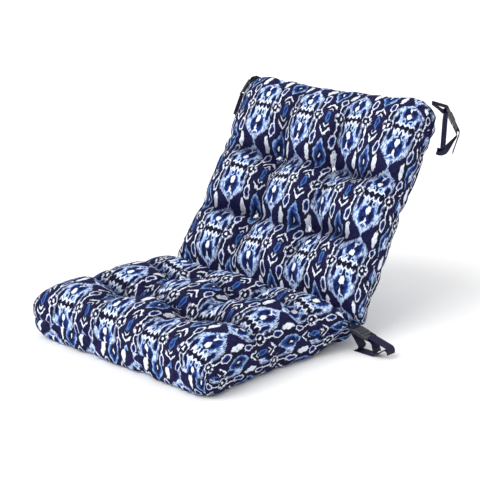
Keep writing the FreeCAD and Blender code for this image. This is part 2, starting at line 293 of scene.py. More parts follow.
class Wire:
    """One shader socket that can take part in arithmetic."""

    def __init__(self, paint: "Paint", socket: bpy.types.NodeSocket) -> None:
        """Hold a socket and the paint that it belongs to."""
        self.paint = paint
        self.socket = socket

    def math(self, operation: str, *others: "Wire | float", clamp: bool = False) -> "Wire":
        """Add one Math node with this value first.

        Args:
            operation: the node's operation.
            others: its other values.
            clamp: keep the result between 0 and 1.

        Returns:
            The result.
        """
        values = dict(enumerate((self, *others)))
        settings = {"operation": operation, "use_clamp": clamp}
        return self.paint.node("ShaderNodeMath", settings, values)

    def __add__(self, other: "Wire | float") -> "Wire":
        """Sum."""
        return self.math("ADD", other)

    __radd__ = __add__

    def __sub__(self, other: "Wire | float") -> "Wire":
        """Difference."""
        return self.math("SUBTRACT", other)

    def __rsub__(self, other: float) -> "Wire":
        """A number less this value."""
        return self.paint.node("ShaderNodeMath", {"operation": "SUBTRACT"},
                               {0: other, 1: self})

    def __mul__(self, other: "Wire | float") -> "Wire":
        """Product."""
        return self.math("MULTIPLY", other)

    __rmul__ = __mul__

    def __truediv__(self, other: "Wire | float") -> "Wire":
        """Quotient."""
        return self.math("DIVIDE", other)

    def __abs__(self) -> "Wire":
        """Size without sign."""
        return self.math("ABSOLUTE")

    def least(self, other: "Wire | float") -> "Wire":
        """The smaller of two values."""
        return self.math("MINIMUM", other)

    def most(self, other: "Wire | float") -> "Wire":
        """The larger of two values."""
        return self.math("MAXIMUM", other)

    def ripple(self, pitch: float) -> "Wire":
        """A sine wave of the value, between -1 and 1."""
        return (self * (2 * math.pi / pitch)).math("SINE")

    def folded(self, span: float) -> "Wire":
        """The value folded to and fro between 0 and span."""
        return self.math("PINGPONG", span)

    def mirrored(self, period: float, rise: float, span: float) -> "Wire":
        """The value as a lopsided zigzag between 0 and span.

        Args:
            period: the length of one repeat.
            rise: the share of the repeat that goes up.
            span: the zigzag's height.

        Returns:
            The folded value.
        """
        share = (self * (1.0 / period)).math("FRACT")
        return (share * (span / rise)).least((1.0 - share) * (span / (1.0 - rise)))

    def under(self, edge: float, soft: float) -> "Wire":
        """A mask that is 1 below an edge, with a soft step."""
        return self.math("MULTIPLY_ADD", -1.0 / soft, edge / soft + 0.5, clamp=True)

    def over(self, edge: float, soft: float) -> "Wire":
        """A mask that is 1 above an edge, with a soft step."""
        return self.math("MULTIPLY_ADD", 1.0 / soft, 0.5 - edge / soft, clamp=True)

    def vector(self, operation: str, *others: "Wire | tuple[float, float, float]",
               output: int = 0) -> "Wire":
        """Add one Vector Math node with this vector first.

        Args:
            operation: the node's operation.
            others: its other values.
            output: 0 for a vector, 1 for a number.

        Returns:
            The result.
        """
        values = dict(enumerate((self, *others)))
        return self.paint.node("ShaderNodeVectorMath", {"operation": operation},
                               values, output)

    def oval(self, spot: "Spot") -> "Wire":
        """Distance from a spot, counted in its radii, for a round shape."""
        return self.centred(spot).vector("LENGTH", output=1)

    def diamond(self, spot: "Spot") -> "Wire":
        """Distance from a spot, counted in its radii, for a diamond."""
        sizes = self.centred(spot).vector("ABSOLUTE")
        return sizes.vector("DOT_PRODUCT", (1.0, 1.0, 0.0), output=1)

    def centred(self, spot: "Spot") -> "Wire":
        """The flat vector measured from a spot in units of its radii.

        Args:
            spot: the spot.

        Returns:
            The vector.
        """
        scale = (1.0 / spot.wide, 1.0 / spot.tall, 0.0)
        shift = (-spot.across / spot.wide, -spot.along / spot.tall, 0.0)
        return self.vector("MULTIPLY_ADD", scale, shift)


class Paint:
    """The node tree of one finish."""

    def __init__(self, name: str) -> None:
        """Start an empty material.

        Args:
            name: the finish's name.
        """
        self.material = bpy.data.materials.new(name)
        self.material.use_nodes = True
        self.tree = self.material.node_tree
        self.tree.nodes.clear()

    def node(self, kind: str, settings: dict | None = None,
             values: dict | None = None, output: int | str = 0) -> Wire:
        """Add one node.

        Args:
            kind: the node's type.
            settings: its settings, set before its values.
            values: numbers, colours or wires for its input sockets.
            output: which output to hand back.

        Returns:
            The chosen output.
        """
        made = self.tree.nodes.new(kind)
        for key, value in (settings or {}).items():
            setattr(made, key, value)
        for key, value in (values or {}).items():
            if isinstance(value, Wire):
                self.tree.links.new(value.socket, made.inputs[key])
            else:
                made.inputs[key].default_value = value
        return Wire(self, made.outputs[output])

    def noise(self, at: Wire, scale: float, detail: float = 2.0,
              output: int | str = 0) -> Wire:
        """Noise at a place.

        Args:
            at: the place.
            scale: the pattern's scale.
            detail: how many finer layers it has.
            output: 0 for a number, "Color" for a vector of three.

        Returns:
            The noise.
        """
        return self.node("ShaderNodeTexNoise", None,
                         {"Vector": at, "Scale": scale, "Detail": detail}, output)

    def blend(self, amount: Wire | float, first: "Wire | tuple",
              second: "Wire | tuple") -> Wire:
        """Mix two colours.

        Args:
            amount: the second colour's share.
            first: the first colour.
            second: the second colour.

        Returns:
            The mixed colour.
        """
        first = first if isinstance(first, Wire) else (*first, 1.0)
        second = second if isinstance(second, Wire) else (*second, 1.0)
        return self.node("ShaderNodeMix", {"data_type": "RGBA"},
                         {0: amount, 6: first, 7: second}, 2)

    def layers(self, colour: Wire, coats: "list[tuple[Wire, Wire | tuple]]") -> Wire:
        """Lay coats of colour over each other.

        Args:
            colour: what is underneath.
            coats: (mask, colour) for each coat, lowest first.

        Returns:
            The colour on top.
        """
        for mask, coat in coats:
            colour = self.blend(mask, colour, coat)
        return colour

    def print_place(self) -> Wire:
        """The piece's own flat coordinates, in metres of cloth."""
        return self.node("ShaderNodeUVMap", {"uv_map": PRINT_MAP})

    def object_place(self) -> Wire:
        """The place in the object, in metres."""
        return self.node("ShaderNodeTexCoord", None, None, "Object")

    def split(self, place: Wire) -> tuple[Wire, Wire]:
        """A vector's first two numbers."""
        parts = self.node("ShaderNodeSeparateXYZ", None, {0: place})
        return parts, Wire(self, parts.socket.node.outputs[1])

    def flat(self, across: Wire | float, along: Wire | float) -> Wire:
        """Two numbers as a flat vector."""
        return self.node("ShaderNodeCombineXYZ", None, {0: across, 1: along, 2: 0.0})

    def surface(self, values: dict, height: Wire | None = None, depth: float = 0.001,
                strength: float = 1.0) -> bpy.types.Material:
        """Finish the material with a Principled shader.

        Args:
            values: the shader's socket values.
            height: bump height between 0 and 1.
            depth: the bump's real height.
            strength: how strong the bump is.

        Returns:
            The material.
        """
        if height is not None:
            values = {**values, "Normal": self.node(
                "ShaderNodeBump", None,
                {"Height": height, "Distance": depth, "Strength": strength})}
        shader = self.node("ShaderNodeBsdfPrincipled", None, values)
        out = self.tree.nodes.new("ShaderNodeOutputMaterial")
        self.tree.links.new(shader.socket, out.inputs["Surface"])
        return self.material


def shade(red: int, green: int, blue: int) -> tuple[float, float, float]:
    """A screen colour as linear light.

    Args:
        red: its red, 0 to 255.
        green: its green.
        blue: its blue.

    Returns:
        The three channels, 0 to 1.
    """
    def one(value: int) -> float:
        """One channel."""
        part = value / 255.0
        return part / 12.92 if part <= 0.04045 else ((part + 0.055) / 1.055) ** 2.4
    return one(red), one(green), one(blue)


# ---- finishes -------------------------------------------------------------
@dataclass(frozen=True)
class TieDyeCloth:
    """Spun outdoor cloth printed with a generic mirrored tie-dye weave.

    The print repeats every two half-repeats across and along, mirrored at
    each.  Shapes are placed in millimetres from the middle of a medallion
    column and from its narrow neck, or from the middle of a lozenge.
    """

    name: str = "printed_outdoor_cloth"
    across: float = 69.0
    along: float = 82.0
    repeat: float = 168.0
    upright: float = 0.565
    ground: tuple = shade(24, 20, 66)
    # the darkest navy: ink of the print, and also the colour of the painted shade in the tufts'
    # valleys
    ink_and_valley_shade: tuple = shade(4, 6, 38)
    royal: tuple = shade(18, 42, 112)
    mid: tuple = shade(64, 106, 172)
    pale: tuple = shade(170, 198, 232)
    chalk: tuple = shade(224, 230, 244)
    # medallion column
    halo: Spot = Spot(42.0, 40.0, 10.0, 50.0)
    leaf: Spot = Spot(24.5, 63.0, 4.6, 12.5)
    core: Spot = Spot(0.0, 39.0, 17.0, 20.5)
    cap: Spot = Spot(0.0, 57.0, 11.5, 17.0)
    drop: Spot = Spot(0.0, 50.0, 5.6, 8.0)
    stem: Spot = Spot(0.0, 29.0, 3.0, 8.0)
    loop: Spot = Spot(8.5, 66.0, 4.2, 7.0)
    foot: float = 19.0
    spread: float = 37.0
    neck_half: float = 1.8
    bell_half: float = 32.0
    crown: float = 75.0
    tooth: float = 6.0
    # lozenge column
    lozenge_points: Spot = Spot(0.0, 0.0, 20.0, 38.0)
    lozenge_sides: Spot = Spot(0.0, 0.0, 15.0, 40.0)
    pip: Spot = Spot(0.0, 0.0, 1.9, 5.0)
    shaft: Spot = Spot(0.0, 80.0, 5.2, 13.0)
    chevrons: tuple = ((43.0, 12.5, 2.5), (58.0, 6.0, 1.6))
    # between the columns
    link: Spot = Spot(23.5, 33.0, 7.2, 14.5)
    dash: Spot = Spot(25.0, 57.0, 1.3, 11.0)
    feather: Spot = Spot(32.5, 0.0, 6.0, 18.0)
    arc: Spot = Spot(40.0, 84.0, 12.0, 14.0)
    dots: tuple = (Spot(38.0, 81.0, 2.6, 2.6), Spot(47.0, 76.0, 2.0, 3.0),
                   Spot(33.0, 72.0, 2.0, 2.4), Spot(43.0, 68.0, 1.6, 2.4))
    # weave, in metres
    warp: float = 0.0009
    weft: float = 0.0011
    relief: float = 0.0024
    # how far the cloth's colour is darkened towards the darkest navy in the tufts' valleys:
    # painted shade
    fold_depth: float = 0.78

    def ragged(self, paint: Paint) -> Wire:
        """The cloth's own print coordinates with edges that bled and feathered.

        Args:
            paint: the finish being made.

        Returns:
            The coordinates, in millimetres.
        """
        uv = paint.print_place()
        place = uv.vector("MULTIPLY", (MILLIMETRES, MILLIMETRES, 0.0))
        bled = paint.noise(uv, 110.0, 1.5, "Color")
        threads = uv.vector("MULTIPLY", (560.0, 75.0, 0.0))
        feathered = paint.noise(threads, 1.0, 1.0, "Color")
        for noise, reach in ((bled, (8.0, 8.0, 0.0)), (feathered, (1.6, 9.0, 0.0))):
            step = noise.vector("SUBTRACT", (0.5, 0.5, 0.5)).vector("MULTIPLY", reach)
            place = place.vector("ADD", step)
        return place

    def figure(self, paint: Paint) -> Wire:
        """The print's colour over the cloth.

        Args:
            paint: the finish being made.

        Returns:
            The colour.
        """
        across, along = paint.split(self.ragged(paint))
        p = across.folded(self.across)
        q = along.mirrored(self.repeat, self.upright, self.along)
        r = self.across - p
        near, far = paint.flat(p, q), paint.flat(r, q)
        uv = paint.print_place()
        patch = paint.noise(uv, 85.0, 2.0)
        streak = paint.noise(uv.vector("MULTIPLY", (800.0, 90.0, 0.0)), 1.0, 2.0)
        blotch = patch * 0.62 + streak * 0.38
        colour = paint.blend(blotch.over(0.56, 0.3), self.ground, self.ink_and_valley_shade)
        colour = paint.blend(near.oval(self.halo).under(1.0, 0.5) * 0.7, colour, self.ink_and_valley_shade)
        colour = self.medallion(paint, colour, near, p, q, blotch, streak)
        colour = self.lozenge(paint, colour, far, r, q, blotch)
        return self.chains(paint, colour, near, far, streak)

    def medallion(self, paint: Paint, colour: Wire, near: Wire, p: Wire, q: Wire,
                  blotch: Wire, streak: Wire) -> Wire:
        """Draw the brush-stroke medallion, its core and its crown of teeth.

        Args:
            paint: the finish being made.
            colour: the colour so far.
            near: place from the medallion's neck.
            p: distance across from its middle.
            q: distance along from its neck.
            blotch: patchy noise.
            streak: noise drawn out along the warp.

        Returns:
            The colour with the medallion on it.
        """
        opening = q.over(self.foot, self.spread)
        opening = opening * opening * (3.0 - 2.0 * opening)
        bell = p / (opening * self.bell_half + self.neck_half)
        body = bell.under(1.0, 0.14) * (q + p * 0.12).under(self.crown, 4.0)
        wash = paint.blend(blotch.over(0.44, 0.1), self.royal, self.mid)
        wash = paint.layers(wash, [(blotch.over(0.495, 0.09), self.pale),
                                   (streak.over(0.55, 0.08) * 0.9, self.chalk)])
        torn = bell.over(0.88, 0.16) * streak.under(0.48, 0.08)
        leaf, drop = near.oval(self.leaf), near.oval(self.drop).under(1.0, 0.25)
        heart = near.oval(self.core).least(near.oval(self.cap))
        stem = near.diamond(self.stem).under(1.0, 0.4)
        arms = abs(q - 26.0 + p * 0.75).under(1.7, 1.4) * p.under(7.5, 1.5)
        loop = abs(near.oval(self.loop) - 1.0).under(0.24, 0.24)
        band = q.over(self.crown - 1.0, 3.0) * p.under(36.0, 5.0)
        wave = p.folded(self.tooth)
        teeth = abs(q - (self.crown + 2.0) + wave * 1.3).under(2.4, 1.6)
        return paint.layers(colour, [
            (body, wash),
            (torn * body * 0.9, self.ground),
            (leaf.under(1.2, 0.3), self.royal),
            (leaf.under(0.85, 0.3), self.ink_and_valley_shade),
            (heart.under(1.09, 0.12), self.mid),
            (heart.under(1.0, 0.14), self.royal),
            (heart.under(0.86, 0.2) * blotch.over(0.475, 0.1), self.ink_and_valley_shade),
            (drop.most(stem).most(arms), self.chalk),
            (loop, self.pale),
            (band * 0.95, self.ink_and_valley_shade),
            (teeth * p.under(22.0, 3.0), self.chalk)])

    def lozenge(self, paint: Paint, colour: Wire, far: Wire, r: Wire, q: Wire,
                blotch: Wire) -> Wire:
        """Draw the tall lozenge, the chevrons and the small lozenge.

        Args:
            paint: the finish being made.
            colour: the colour so far.
            far: place from the middle of the lozenge.
            r: distance across from its middle.
            q: distance along from its middle.
            blotch: patchy noise.

        Returns:
            The colour with the shapes on it.
        """
        shape = far.diamond(self.lozenge_points).most(far.oval(self.lozenge_sides) * 0.96)
        outline = paint.blend(blotch.over(0.5, 0.16), self.mid, self.pale)
        filling = paint.blend(blotch.over(0.56, 0.16), self.royal, self.mid)
        shaft = far.oval(self.shaft)
        coats = [(shape.under(1.2, 0.16), self.ink_and_valley_shade),
                 (shape.under(0.98, 0.1), outline),
                 (shape.under(0.8, 0.18), filling),
                 (shape.under(0.5, 0.24), self.ink_and_valley_shade),
                 (far.oval(self.pip).under(1.0, 0.4), self.chalk),
                 (shaft.under(1.35, 0.2), self.ink_and_valley_shade),
                 (shaft.under(1.0, 0.3), self.mid),
                 (shaft.under(0.6, 0.4), self.royal)]
        for base, reach, thick in self.chevrons:
            line = abs(q - base - r * 1.15)
            coats += [(line.under(thick + 3.5, 2.5) * r.under(reach + 3.0, 3.0), self.ink_and_valley_shade),
                      (line.under(thick, 1.5) * r.under(reach, 2.0), self.chalk)]
        return paint.layers(colour, coats)

    def chains(self, paint: Paint, colour: Wire, near: Wire, far: Wire,
               streak: Wire) -> Wire:
        """Draw the chain links, feathers and dots between the columns.

        Args:
            paint: the finish being made.
            colour: the colour so far.
            near: place from the medallion's neck.
            far: place from the middle of the lozenge.
            streak: noise drawn out along the warp.

        Returns:
            The colour with the shapes on it.
        """
        link, feather = far.oval(self.link), far.oval(self.feather)
        arc = abs(near.oval(self.arc) - 1.0).under(0.12, 0.12)
        return paint.layers(colour, [
            (link.under(1.3, 0.2), self.ink_and_valley_shade),
            (link.under(1.0, 0.16), self.chalk),
            (link.under(0.76, 0.2), self.royal),
            (link.under(0.35, 0.3), self.ink_and_valley_shade),
            (far.oval(self.dash).under(1.0, 0.5), self.chalk),
            (feather.under(1.25, 0.25), self.ink_and_valley_shade),
            (feather.under(1.0, 0.14) * streak.over(0.38, 0.1), self.chalk),
            *[(near.oval(dot).under(1.0, 0.45), self.chalk) for dot in self.dots],
            (arc * streak.over(0.5, 0.1), self.chalk)])

    def material(self) -> bpy.types.Material:
        """Make the cloth's finish.

        Returns:
            The material.
        """
        paint = Paint(self.name)
        uv = paint.print_place()
        across, along = paint.split(uv)
        slub = paint.noise(uv.vector("MULTIPLY", (90.0, 1400.0, 0.0)), 1.0, 2.0)
        weave = across.ripple(self.warp) * along.ripple(self.weft) * 0.5 + slub * 0.6
        height = weave * 0.10 + paint.noise(uv, 60.0, 3.0)
        # painted shade: the print is darkened towards its darkest navy where the cover lies
        # deep in the tufts' valleys, read from the note stored on the cover; the faint pale
        # coat is the yarn's own slub
        fold = paint.node("ShaderNodeAttribute", {"attribute_name": "fold"}, None, 2)
        slub_tone_and_painted_fold_shade = paint.layers(self.figure(paint), [
            (slub.over(0.62, 0.4) * 0.04, self.chalk),
            (fold * self.fold_depth, self.ink_and_valley_shade)])
        return paint.surface(
            {"Base Color": slub_tone_and_painted_fold_shade, "Roughness": slub * 0.16 + 0.68,
             "Specular IOR Level": 0.04},
            height, self.relief, 0.6)


@dataclass(frozen=True)
class NavyWebbing:
    """Flat navy webbing, ribbed along its length."""

    name: str = "navy_webbing"
    colour: tuple = shade(9, 10, 38)
    # a paler navy, painted as highlight where the ribs and picks stand up, and as random fuzz
    light: tuple = shade(24, 26, 66)
    rib: float = 0.0021
    pick: float = 0.0016
    relief: float = 0.0004

    def material(self) -> bpy.types.Material:
        """Make the webbing's finish.

        Returns:
            The material.
        """
        paint = Paint(self.name)
        uv = paint.print_place()
        across, along = paint.split(uv)
        rib = across.ripple(self.rib) * 0.5 + 0.5
        pick = (along + across * 0.5).ripple(self.pick) * 0.5 + 0.5
        fuzz = paint.noise(uv.vector("MULTIPLY", (2600.0, 900.0, 0.0)), 1.0, 2.0)
        height = rib * 0.6 + pick * 0.4
        # painted highlight: the webbing turns to the paler navy where its ribs and picks stand
        # up, mixed with random fuzz
        tone = (height * 0.45 + fuzz * 0.55).over(0.62, 0.7)
        return paint.surface(
            {"Base Color": paint.blend(tone, self.colour, self.light),
             "Roughness": fuzz * 0.2 + 0.6, "Specular IOR Level": 0.25},
            height, self.relief, 0.7)


@dataclass(frozen=True)
class MouldedPlastic:
    """Dark acetal buckle plastic with a fine spark-eroded grain."""

    name: str
    colour: tuple = shade(40, 42, 48)
    rough: float = 0.42
    relief: float = 0.00015

    def material(self) -> bpy.types.Material:
        """Make the plastic's finish.

        Returns:
            The material.
        """
        paint = Paint(self.name)
        at = paint.object_place()
        grain = paint.noise(at, 2600.0, 3.0)
        scuff = paint.noise(at, 190.0, 4.0)
        light = tuple(min(1.0, value * 2.4 + 0.02) for value in self.colour)
        return paint.surface(
            {"Base Color": paint.blend(scuff.over(0.62, 0.25) * 0.4, self.colour, light),
             "Roughness": scuff * 0.22 + (self.rough - 0.1)},
            grain * 0.7 + scuff * 0.3, self.relief, 0.6)


@dataclass(frozen=True)
class SpunThread:
    """Twisted thread or twine."""

    name: str
    colour: tuple
    twist: float = 0.0012
    relief: float = 0.0003

    def material(self) -> bpy.types.Material:
        """Make the thread's finish.

        Returns:
            The material.
        """
        paint = Paint(self.name)
        at = paint.object_place()
        turned = at.vector("DOT_PRODUCT", (1.0, 0.8, 1.3), output=1)
        ply = turned.ripple(self.twist) * 0.5 + 0.5
        lint = paint.noise(at, 1800.0, 2.0)
        # a darker copy of the thread's colour: painted shade in the grooves between the plies,
        # and random lint tone
        groove_shade_and_lint_tone = tuple(value * 0.75 for value in self.colour)
        return paint.surface(
            {"Base Color": paint.blend(ply * 0.5 + lint * 0.4, groove_shade_and_lint_tone, self.colour),
             "Roughness": lint * 0.2 + 0.6, "Sheen Weight": 0.3},
            ply * 0.7 + lint * 0.3, self.relief, 0.8)


class Finishes:
    """Every finish of the cushion, made once."""

    def __init__(self) -> None:
        """Make the materials."""
        self.cloth = TieDyeCloth().material()
        self.webbing = NavyWebbing().material()
        self.buckle = MouldedPlastic("buckle_plastic").material()
        self.twine = SpunThread("tuft_twine", shade(250, 249, 246)).material()
        self.thread = SpunThread("navy_thread", shade(34, 36, 78), 0.0007).material()
        self.bar_tack = SpunThread("grey_thread", shade(120, 126, 158), 0.0007).material()


# ---- padded covers --------------------------------------------------------
@dataclass
class Profile:
    """How a pad's face rises from its edge seam, as (inset, height) stations.

    Heights are shares of the face's full height.
    """

    stations: list[tuple[float, float]]
    height: float

    def curve(self, steps: int = 240) -> tuple[np.ndarray, np.ndarray, np.ndarray]:
        """Sample the rise smoothly.

        Args:
            steps: how many samples.

        Returns:
            Length along the cloth, inset from the edge and height share.
        """
        inset = np.array([place for place, _ in self.stations])
        share = np.array([rise for _, rise in self.stations])
        chord = np.hypot(np.diff(inset), np.diff(share) * self.height)
        knots = np.concatenate([[0.0], np.cumsum(chord)])
        at = np.linspace(0.0, knots[-1], steps)
        smooth = []
        for values, last in ((inset, 1.0), (share, 0.0)):
            slopes = np.gradient(values, knots)
            slopes[0] = (values[1] - values[0]) / chord[0]
            slopes[-1] = last
            smooth.append(hermite(at, knots, values, slopes))
        length = np.concatenate([[0.0], np.cumsum(np.hypot(
            np.diff(smooth[0]), np.diff(smooth[1]) * self.height))])
        return length, smooth[0], smooth[1]


def hermite(at: np.ndarray, knots: np.ndarray, values: np.ndarray,
            slopes: np.ndarray) -> np.ndarray:
    """Smooth interpolation through values with given slopes.

    Args:
        at: where to sample.
        knots: the places of the values.
        values: the values.
        slopes: the slope at each.

    Returns:
        The samples.
    """
    cell = np.clip(np.searchsorted(knots, at, side="right") - 1, 0, len(knots) - 2)
    span = knots[cell + 1] - knots[cell]
    t = (at - knots[cell]) / span
    low, high = values[cell], values[cell + 1]
    first, last = slopes[cell] * span, slopes[cell + 1] * span
    return ((2 * t ** 3 - 3 * t ** 2 + 1) * low + (t ** 3 - 2 * t ** 2 + t) * first
            + (3 * t ** 2 - 2 * t ** 3) * high + (t ** 3 - t ** 2) * last)


class Sweep:
    """One direction across a panel: edge rise, flat middle, edge rise."""

    def __init__(self, near: Profile, far: Profile, span: tuple[float, float]) -> None:
        """Measure the direction.

        Args:
            near: the rise at the low end.
            far: the rise at the high end.
            span: where the two edges lie.
        """
        self.near, self.far, self.span = near.curve(), far.curve(), span
        self.near_run, self.far_run = self.near[0][-1], self.far[0][-1]
        flat = (span[1] - self.far[1][-1]) - (span[0] + self.near[1][-1])
        self.total = self.near_run + self.far_run + flat

    def at(self, share: np.ndarray) -> tuple[np.ndarray, np.ndarray, np.ndarray]:
        """Follow the cloth.

        Args:
            share: how far along the cloth, 0 to 1.

        Returns:
            Plan place, height share, and length along the cloth from the
            middle of the flat.
        """
        run = share * self.total
        low = self.span[0] + np.interp(run, self.near[0], self.near[1])
        high = self.span[1] - np.interp(self.total - run, self.far[0], self.far[1])
        start = self.span[0] + self.near[1][-1]
        middle = start + (run - self.near_run)
        place = np.where(run < self.near_run, low,
                         np.where(run > self.total - self.far_run, high, middle))
        rise = np.minimum(np.interp(run, self.near[0], self.near[2]),
                          np.interp(self.total - run, self.far[0], self.far[2]))
        rest = run - self.near_run + start
        return place, rise, rest


@dataclass
class PadCover:
    """The printed cover of one pad, blown up against its seams and tufts."""

    name: str
    body: str
    length: float
    crown: float
    depth: float
    tuft_x: float
    tuft_rows: tuple[float, float]
    pull_in: float
    wedge: float
    phase: tuple[float, float]
    stand: Matrix
    rests: bool
    seed: int
    cells: tuple[int, int]
    slack: float = 0.06
    valley: float = 0.012
    outer_corner: float = 0.045
    hinge_corner: float = 0.025
    hinge_gap: float = 0.003
    sink: float = 0.036
    sink_under: float = 0.016
    cap: float = 0.040
    under_shift: float = 0.0405
    print_scale: float = 1.09
    tuft_reach: float = 0.026
    tuft_pin: float = 0.0065
    draw_in: float = 0.0046
    gathers: tuple = ((4.2, 0.0013), (26.0, 0.0022), (34.0, 0.0022))
    dart: float = 0.0016
    dart_cells: int = 9
    waver: float = 0.005
    row_width: float = 0.017
    column_width: float = 0.019
    crease: float = 0.0065
    crease_at: float = 0.034
    crease_width: float = 0.022
    floor_gap: float = 0.0004
    floor_soft: float = 0.0025
    hinge_lean: float = 0.97
    hinge_stop: float = 0.0018
    end_bow: float = 0.006
    middle_swell: float = 0.03
    level_share: float = 0.38
    piece: bpy.types.Object | None = field(default=None, repr=False)

    def sweeps(self, panel: Panel) -> tuple[Sweep, Sweep]:
        """The two directions across a panel.

        Args:
            panel: which panel.

        Returns:
            Across the pad, and from the hinge to the far edge.
        """
        if panel is Panel.SITTING:
            c = self.crown
            side = [(0.0, 0.0), (0.009, 0.55), (0.030, 0.86), (0.074, 1.0)]
            near = [(self.hinge_gap, 0.0), (0.55 * c + 0.005, 0.55),
                    (0.86 * c + 0.009, 0.86), (c + 0.030, 1.0)]
            far = [(0.0, 0.0), (0.008, 0.55), (0.026, 0.86), (0.068, 1.0)]
            tall = c
        else:
            side = [(0.0, 0.0), (0.005, 0.58), (0.016, 0.87), (0.040, 1.0)]
            near = [(self.hinge_gap, 0.0), (self.hinge_gap + 0.004, 0.58),
                    (self.hinge_gap + 0.008, 0.87), (self.hinge_gap + 0.015, 1.0)]
            far = side
            tall = self.depth
        edge = Profile(side, tall)
        return (Sweep(edge, edge, (-HALF_WIDTH, HALF_WIDTH)),
                Sweep(Profile(near, tall), Profile(far, tall), (0.0, self.length)))

    def shape(self, panel: Panel, across: np.ndarray, along: np.ndarray,
              tufted: bool) -> tuple[np.ndarray, np.ndarray]:
        """Lay a panel out over its pad.

        Args:
            panel: which panel.
            across: how far across the cloth, 0 to 1.
            along: how far from the hinge along the cloth, 0 to 1.
            tufted: whether the tufts are pulled in.

        Returns:
            Places in the pad's frame, and print coordinates.
        """
        sweep_u, sweep_v = self.sweeps(panel)
        u, rise_u, rest_u = sweep_u.at(across)
        v, rise_v, rest_v = sweep_v.at(along)
        ru, rv = np.clip(rise_u, 1e-4, 1.0), np.clip(rise_v, 1e-4, 1.0)
        rise = (ru ** -3 + rv ** -3 - 1.0) ** (-1.0 / 3.0)
        rise = np.where((rise_u < 1e-3) | (rise_v < 1e-3), 0.0, rise)
        fall_u, fall_v = 1.0 - rise_u + 1e-4, 1.0 - rise_v + 1e-4
        turn = fall_u ** 2 / (fall_u ** 2 + fall_v ** 2)
        print_u = rest_u * turn + u * (1.0 - turn)
        print_v = v * turn + rest_v * (1.0 - turn)
        print_u = np.where(rise_u > 0.999, u, print_u)
        print_v = np.where(rise_v > 0.999, v, print_v)
        place_u, place_v = self.round_corners(u, v)
        # sides pull in between the corners
        share = np.clip(place_v / self.length, 0.0, 1.0)
        waist = np.sin(math.pi * share) ** 0.9 * self.pull_in
        place_u = place_u * (1.0 - waist / HALF_WIDTH * (np.abs(place_u) / HALF_WIDTH) ** 2)
        bow = (1.0 - (place_u / HALF_WIDTH) ** 2) * self.end_bow
        place_v = place_v - bow * share ** 2
        # the pad is thicker towards the hinge
        thick = 1.0 + self.wedge * (self.level_share - share)
        tall = self.crown if panel is Panel.SITTING else -self.depth
        swell = 1.0 + self.middle_swell * (1 - (place_u / HALF_WIDTH) ** 2)
        w = rise * tall * swell
        # what lies on the floor stays level
        if not (self.rests and panel is Panel.UNDER):
            w = w * thick
        if tufted:
            sink = self.sink if panel is Panel.SITTING else self.sink_under
            pull = np.zeros_like(w)
            for x, row in self.tufts():
                away = np.hypot(place_u - x, place_v - row)
                pull = np.maximum(pull, np.exp(-(away / self.tuft_reach) ** 1.4))
            goal = tall - math.copysign(sink, tall)
            w = w + (goal - w) * pull * (rise > 0.5)
        return (np.stack([place_u, place_v, w], -1),
                np.stack([print_u + self.phase[0], print_v + self.phase[1]], -1)
                * self.print_scale)

    def round_corners(self, u: np.ndarray, v: np.ndarray) -> tuple[np.ndarray, np.ndarray]:
        """Round a panel's outline at its four corners.

        Args:
            u: places across the pad.
            v: places from the hinge.

        Returns:
            Both, rounded.
        """
        out_u, out_v = u.copy(), v.copy()
        for end, radius in ((0.0, self.hinge_corner), (self.length, self.outer_corner)):
            way = 1.0 if end else -1.0
            start = end - way * radius
            a = np.clip((np.abs(u) - (HALF_WIDTH - radius)) / radius, 0.0, 1.0)
            b = np.clip((v - start) * way / radius, 0.0, 1.0)
            both = (a > 0) & (b > 0)
            new_a = a * np.sqrt(1.0 - b * b / 2.0)
            new_b = b * np.sqrt(1.0 - a * a / 2.0)
            out_u = np.where(both, np.sign(u) * (HALF_WIDTH - radius + new_a * radius), out_u)
            out_v = np.where(both, start + way * new_b * radius, out_v)
        return out_u, out_v

    def build(self, cloth: bpy.types.Material) -> None:
        """Lay out the two panels, sew them and set up the simulation.

        Args:
            cloth: the cover's finish.
        """
        columns, rows = self.cells
        halves = []
        for panel in Panel:
            half, flat = new_grid(self.name + "_" + panel.name.lower(), cloth,
                                  columns, rows)
            across, along = np.clip(flat.T, 0, 1)
            places, prints = self.shape(panel, across, along, True)
            set_prints(half, prints + (self.under_shift if panel is Panel.UNDER else 0.0))
            for key, value in (("across", across), ("along", along),
                               ("under", np.full(len(flat), panel is Panel.UNDER))):
                set_note(half, key, value)
            set_points(half, places)
            if panel is Panel.UNDER:
                bpy.ops.object.mode_set(mode="EDIT")
                bpy.ops.mesh.select_all(action="SELECT")
                bpy.ops.mesh.flip_normals()
                bpy.ops.object.mode_set(mode="OBJECT")
            halves.append(half)
        self.piece = join(halves)
        self.piece.name = self.piece.data.name = self.name
        self.sew()

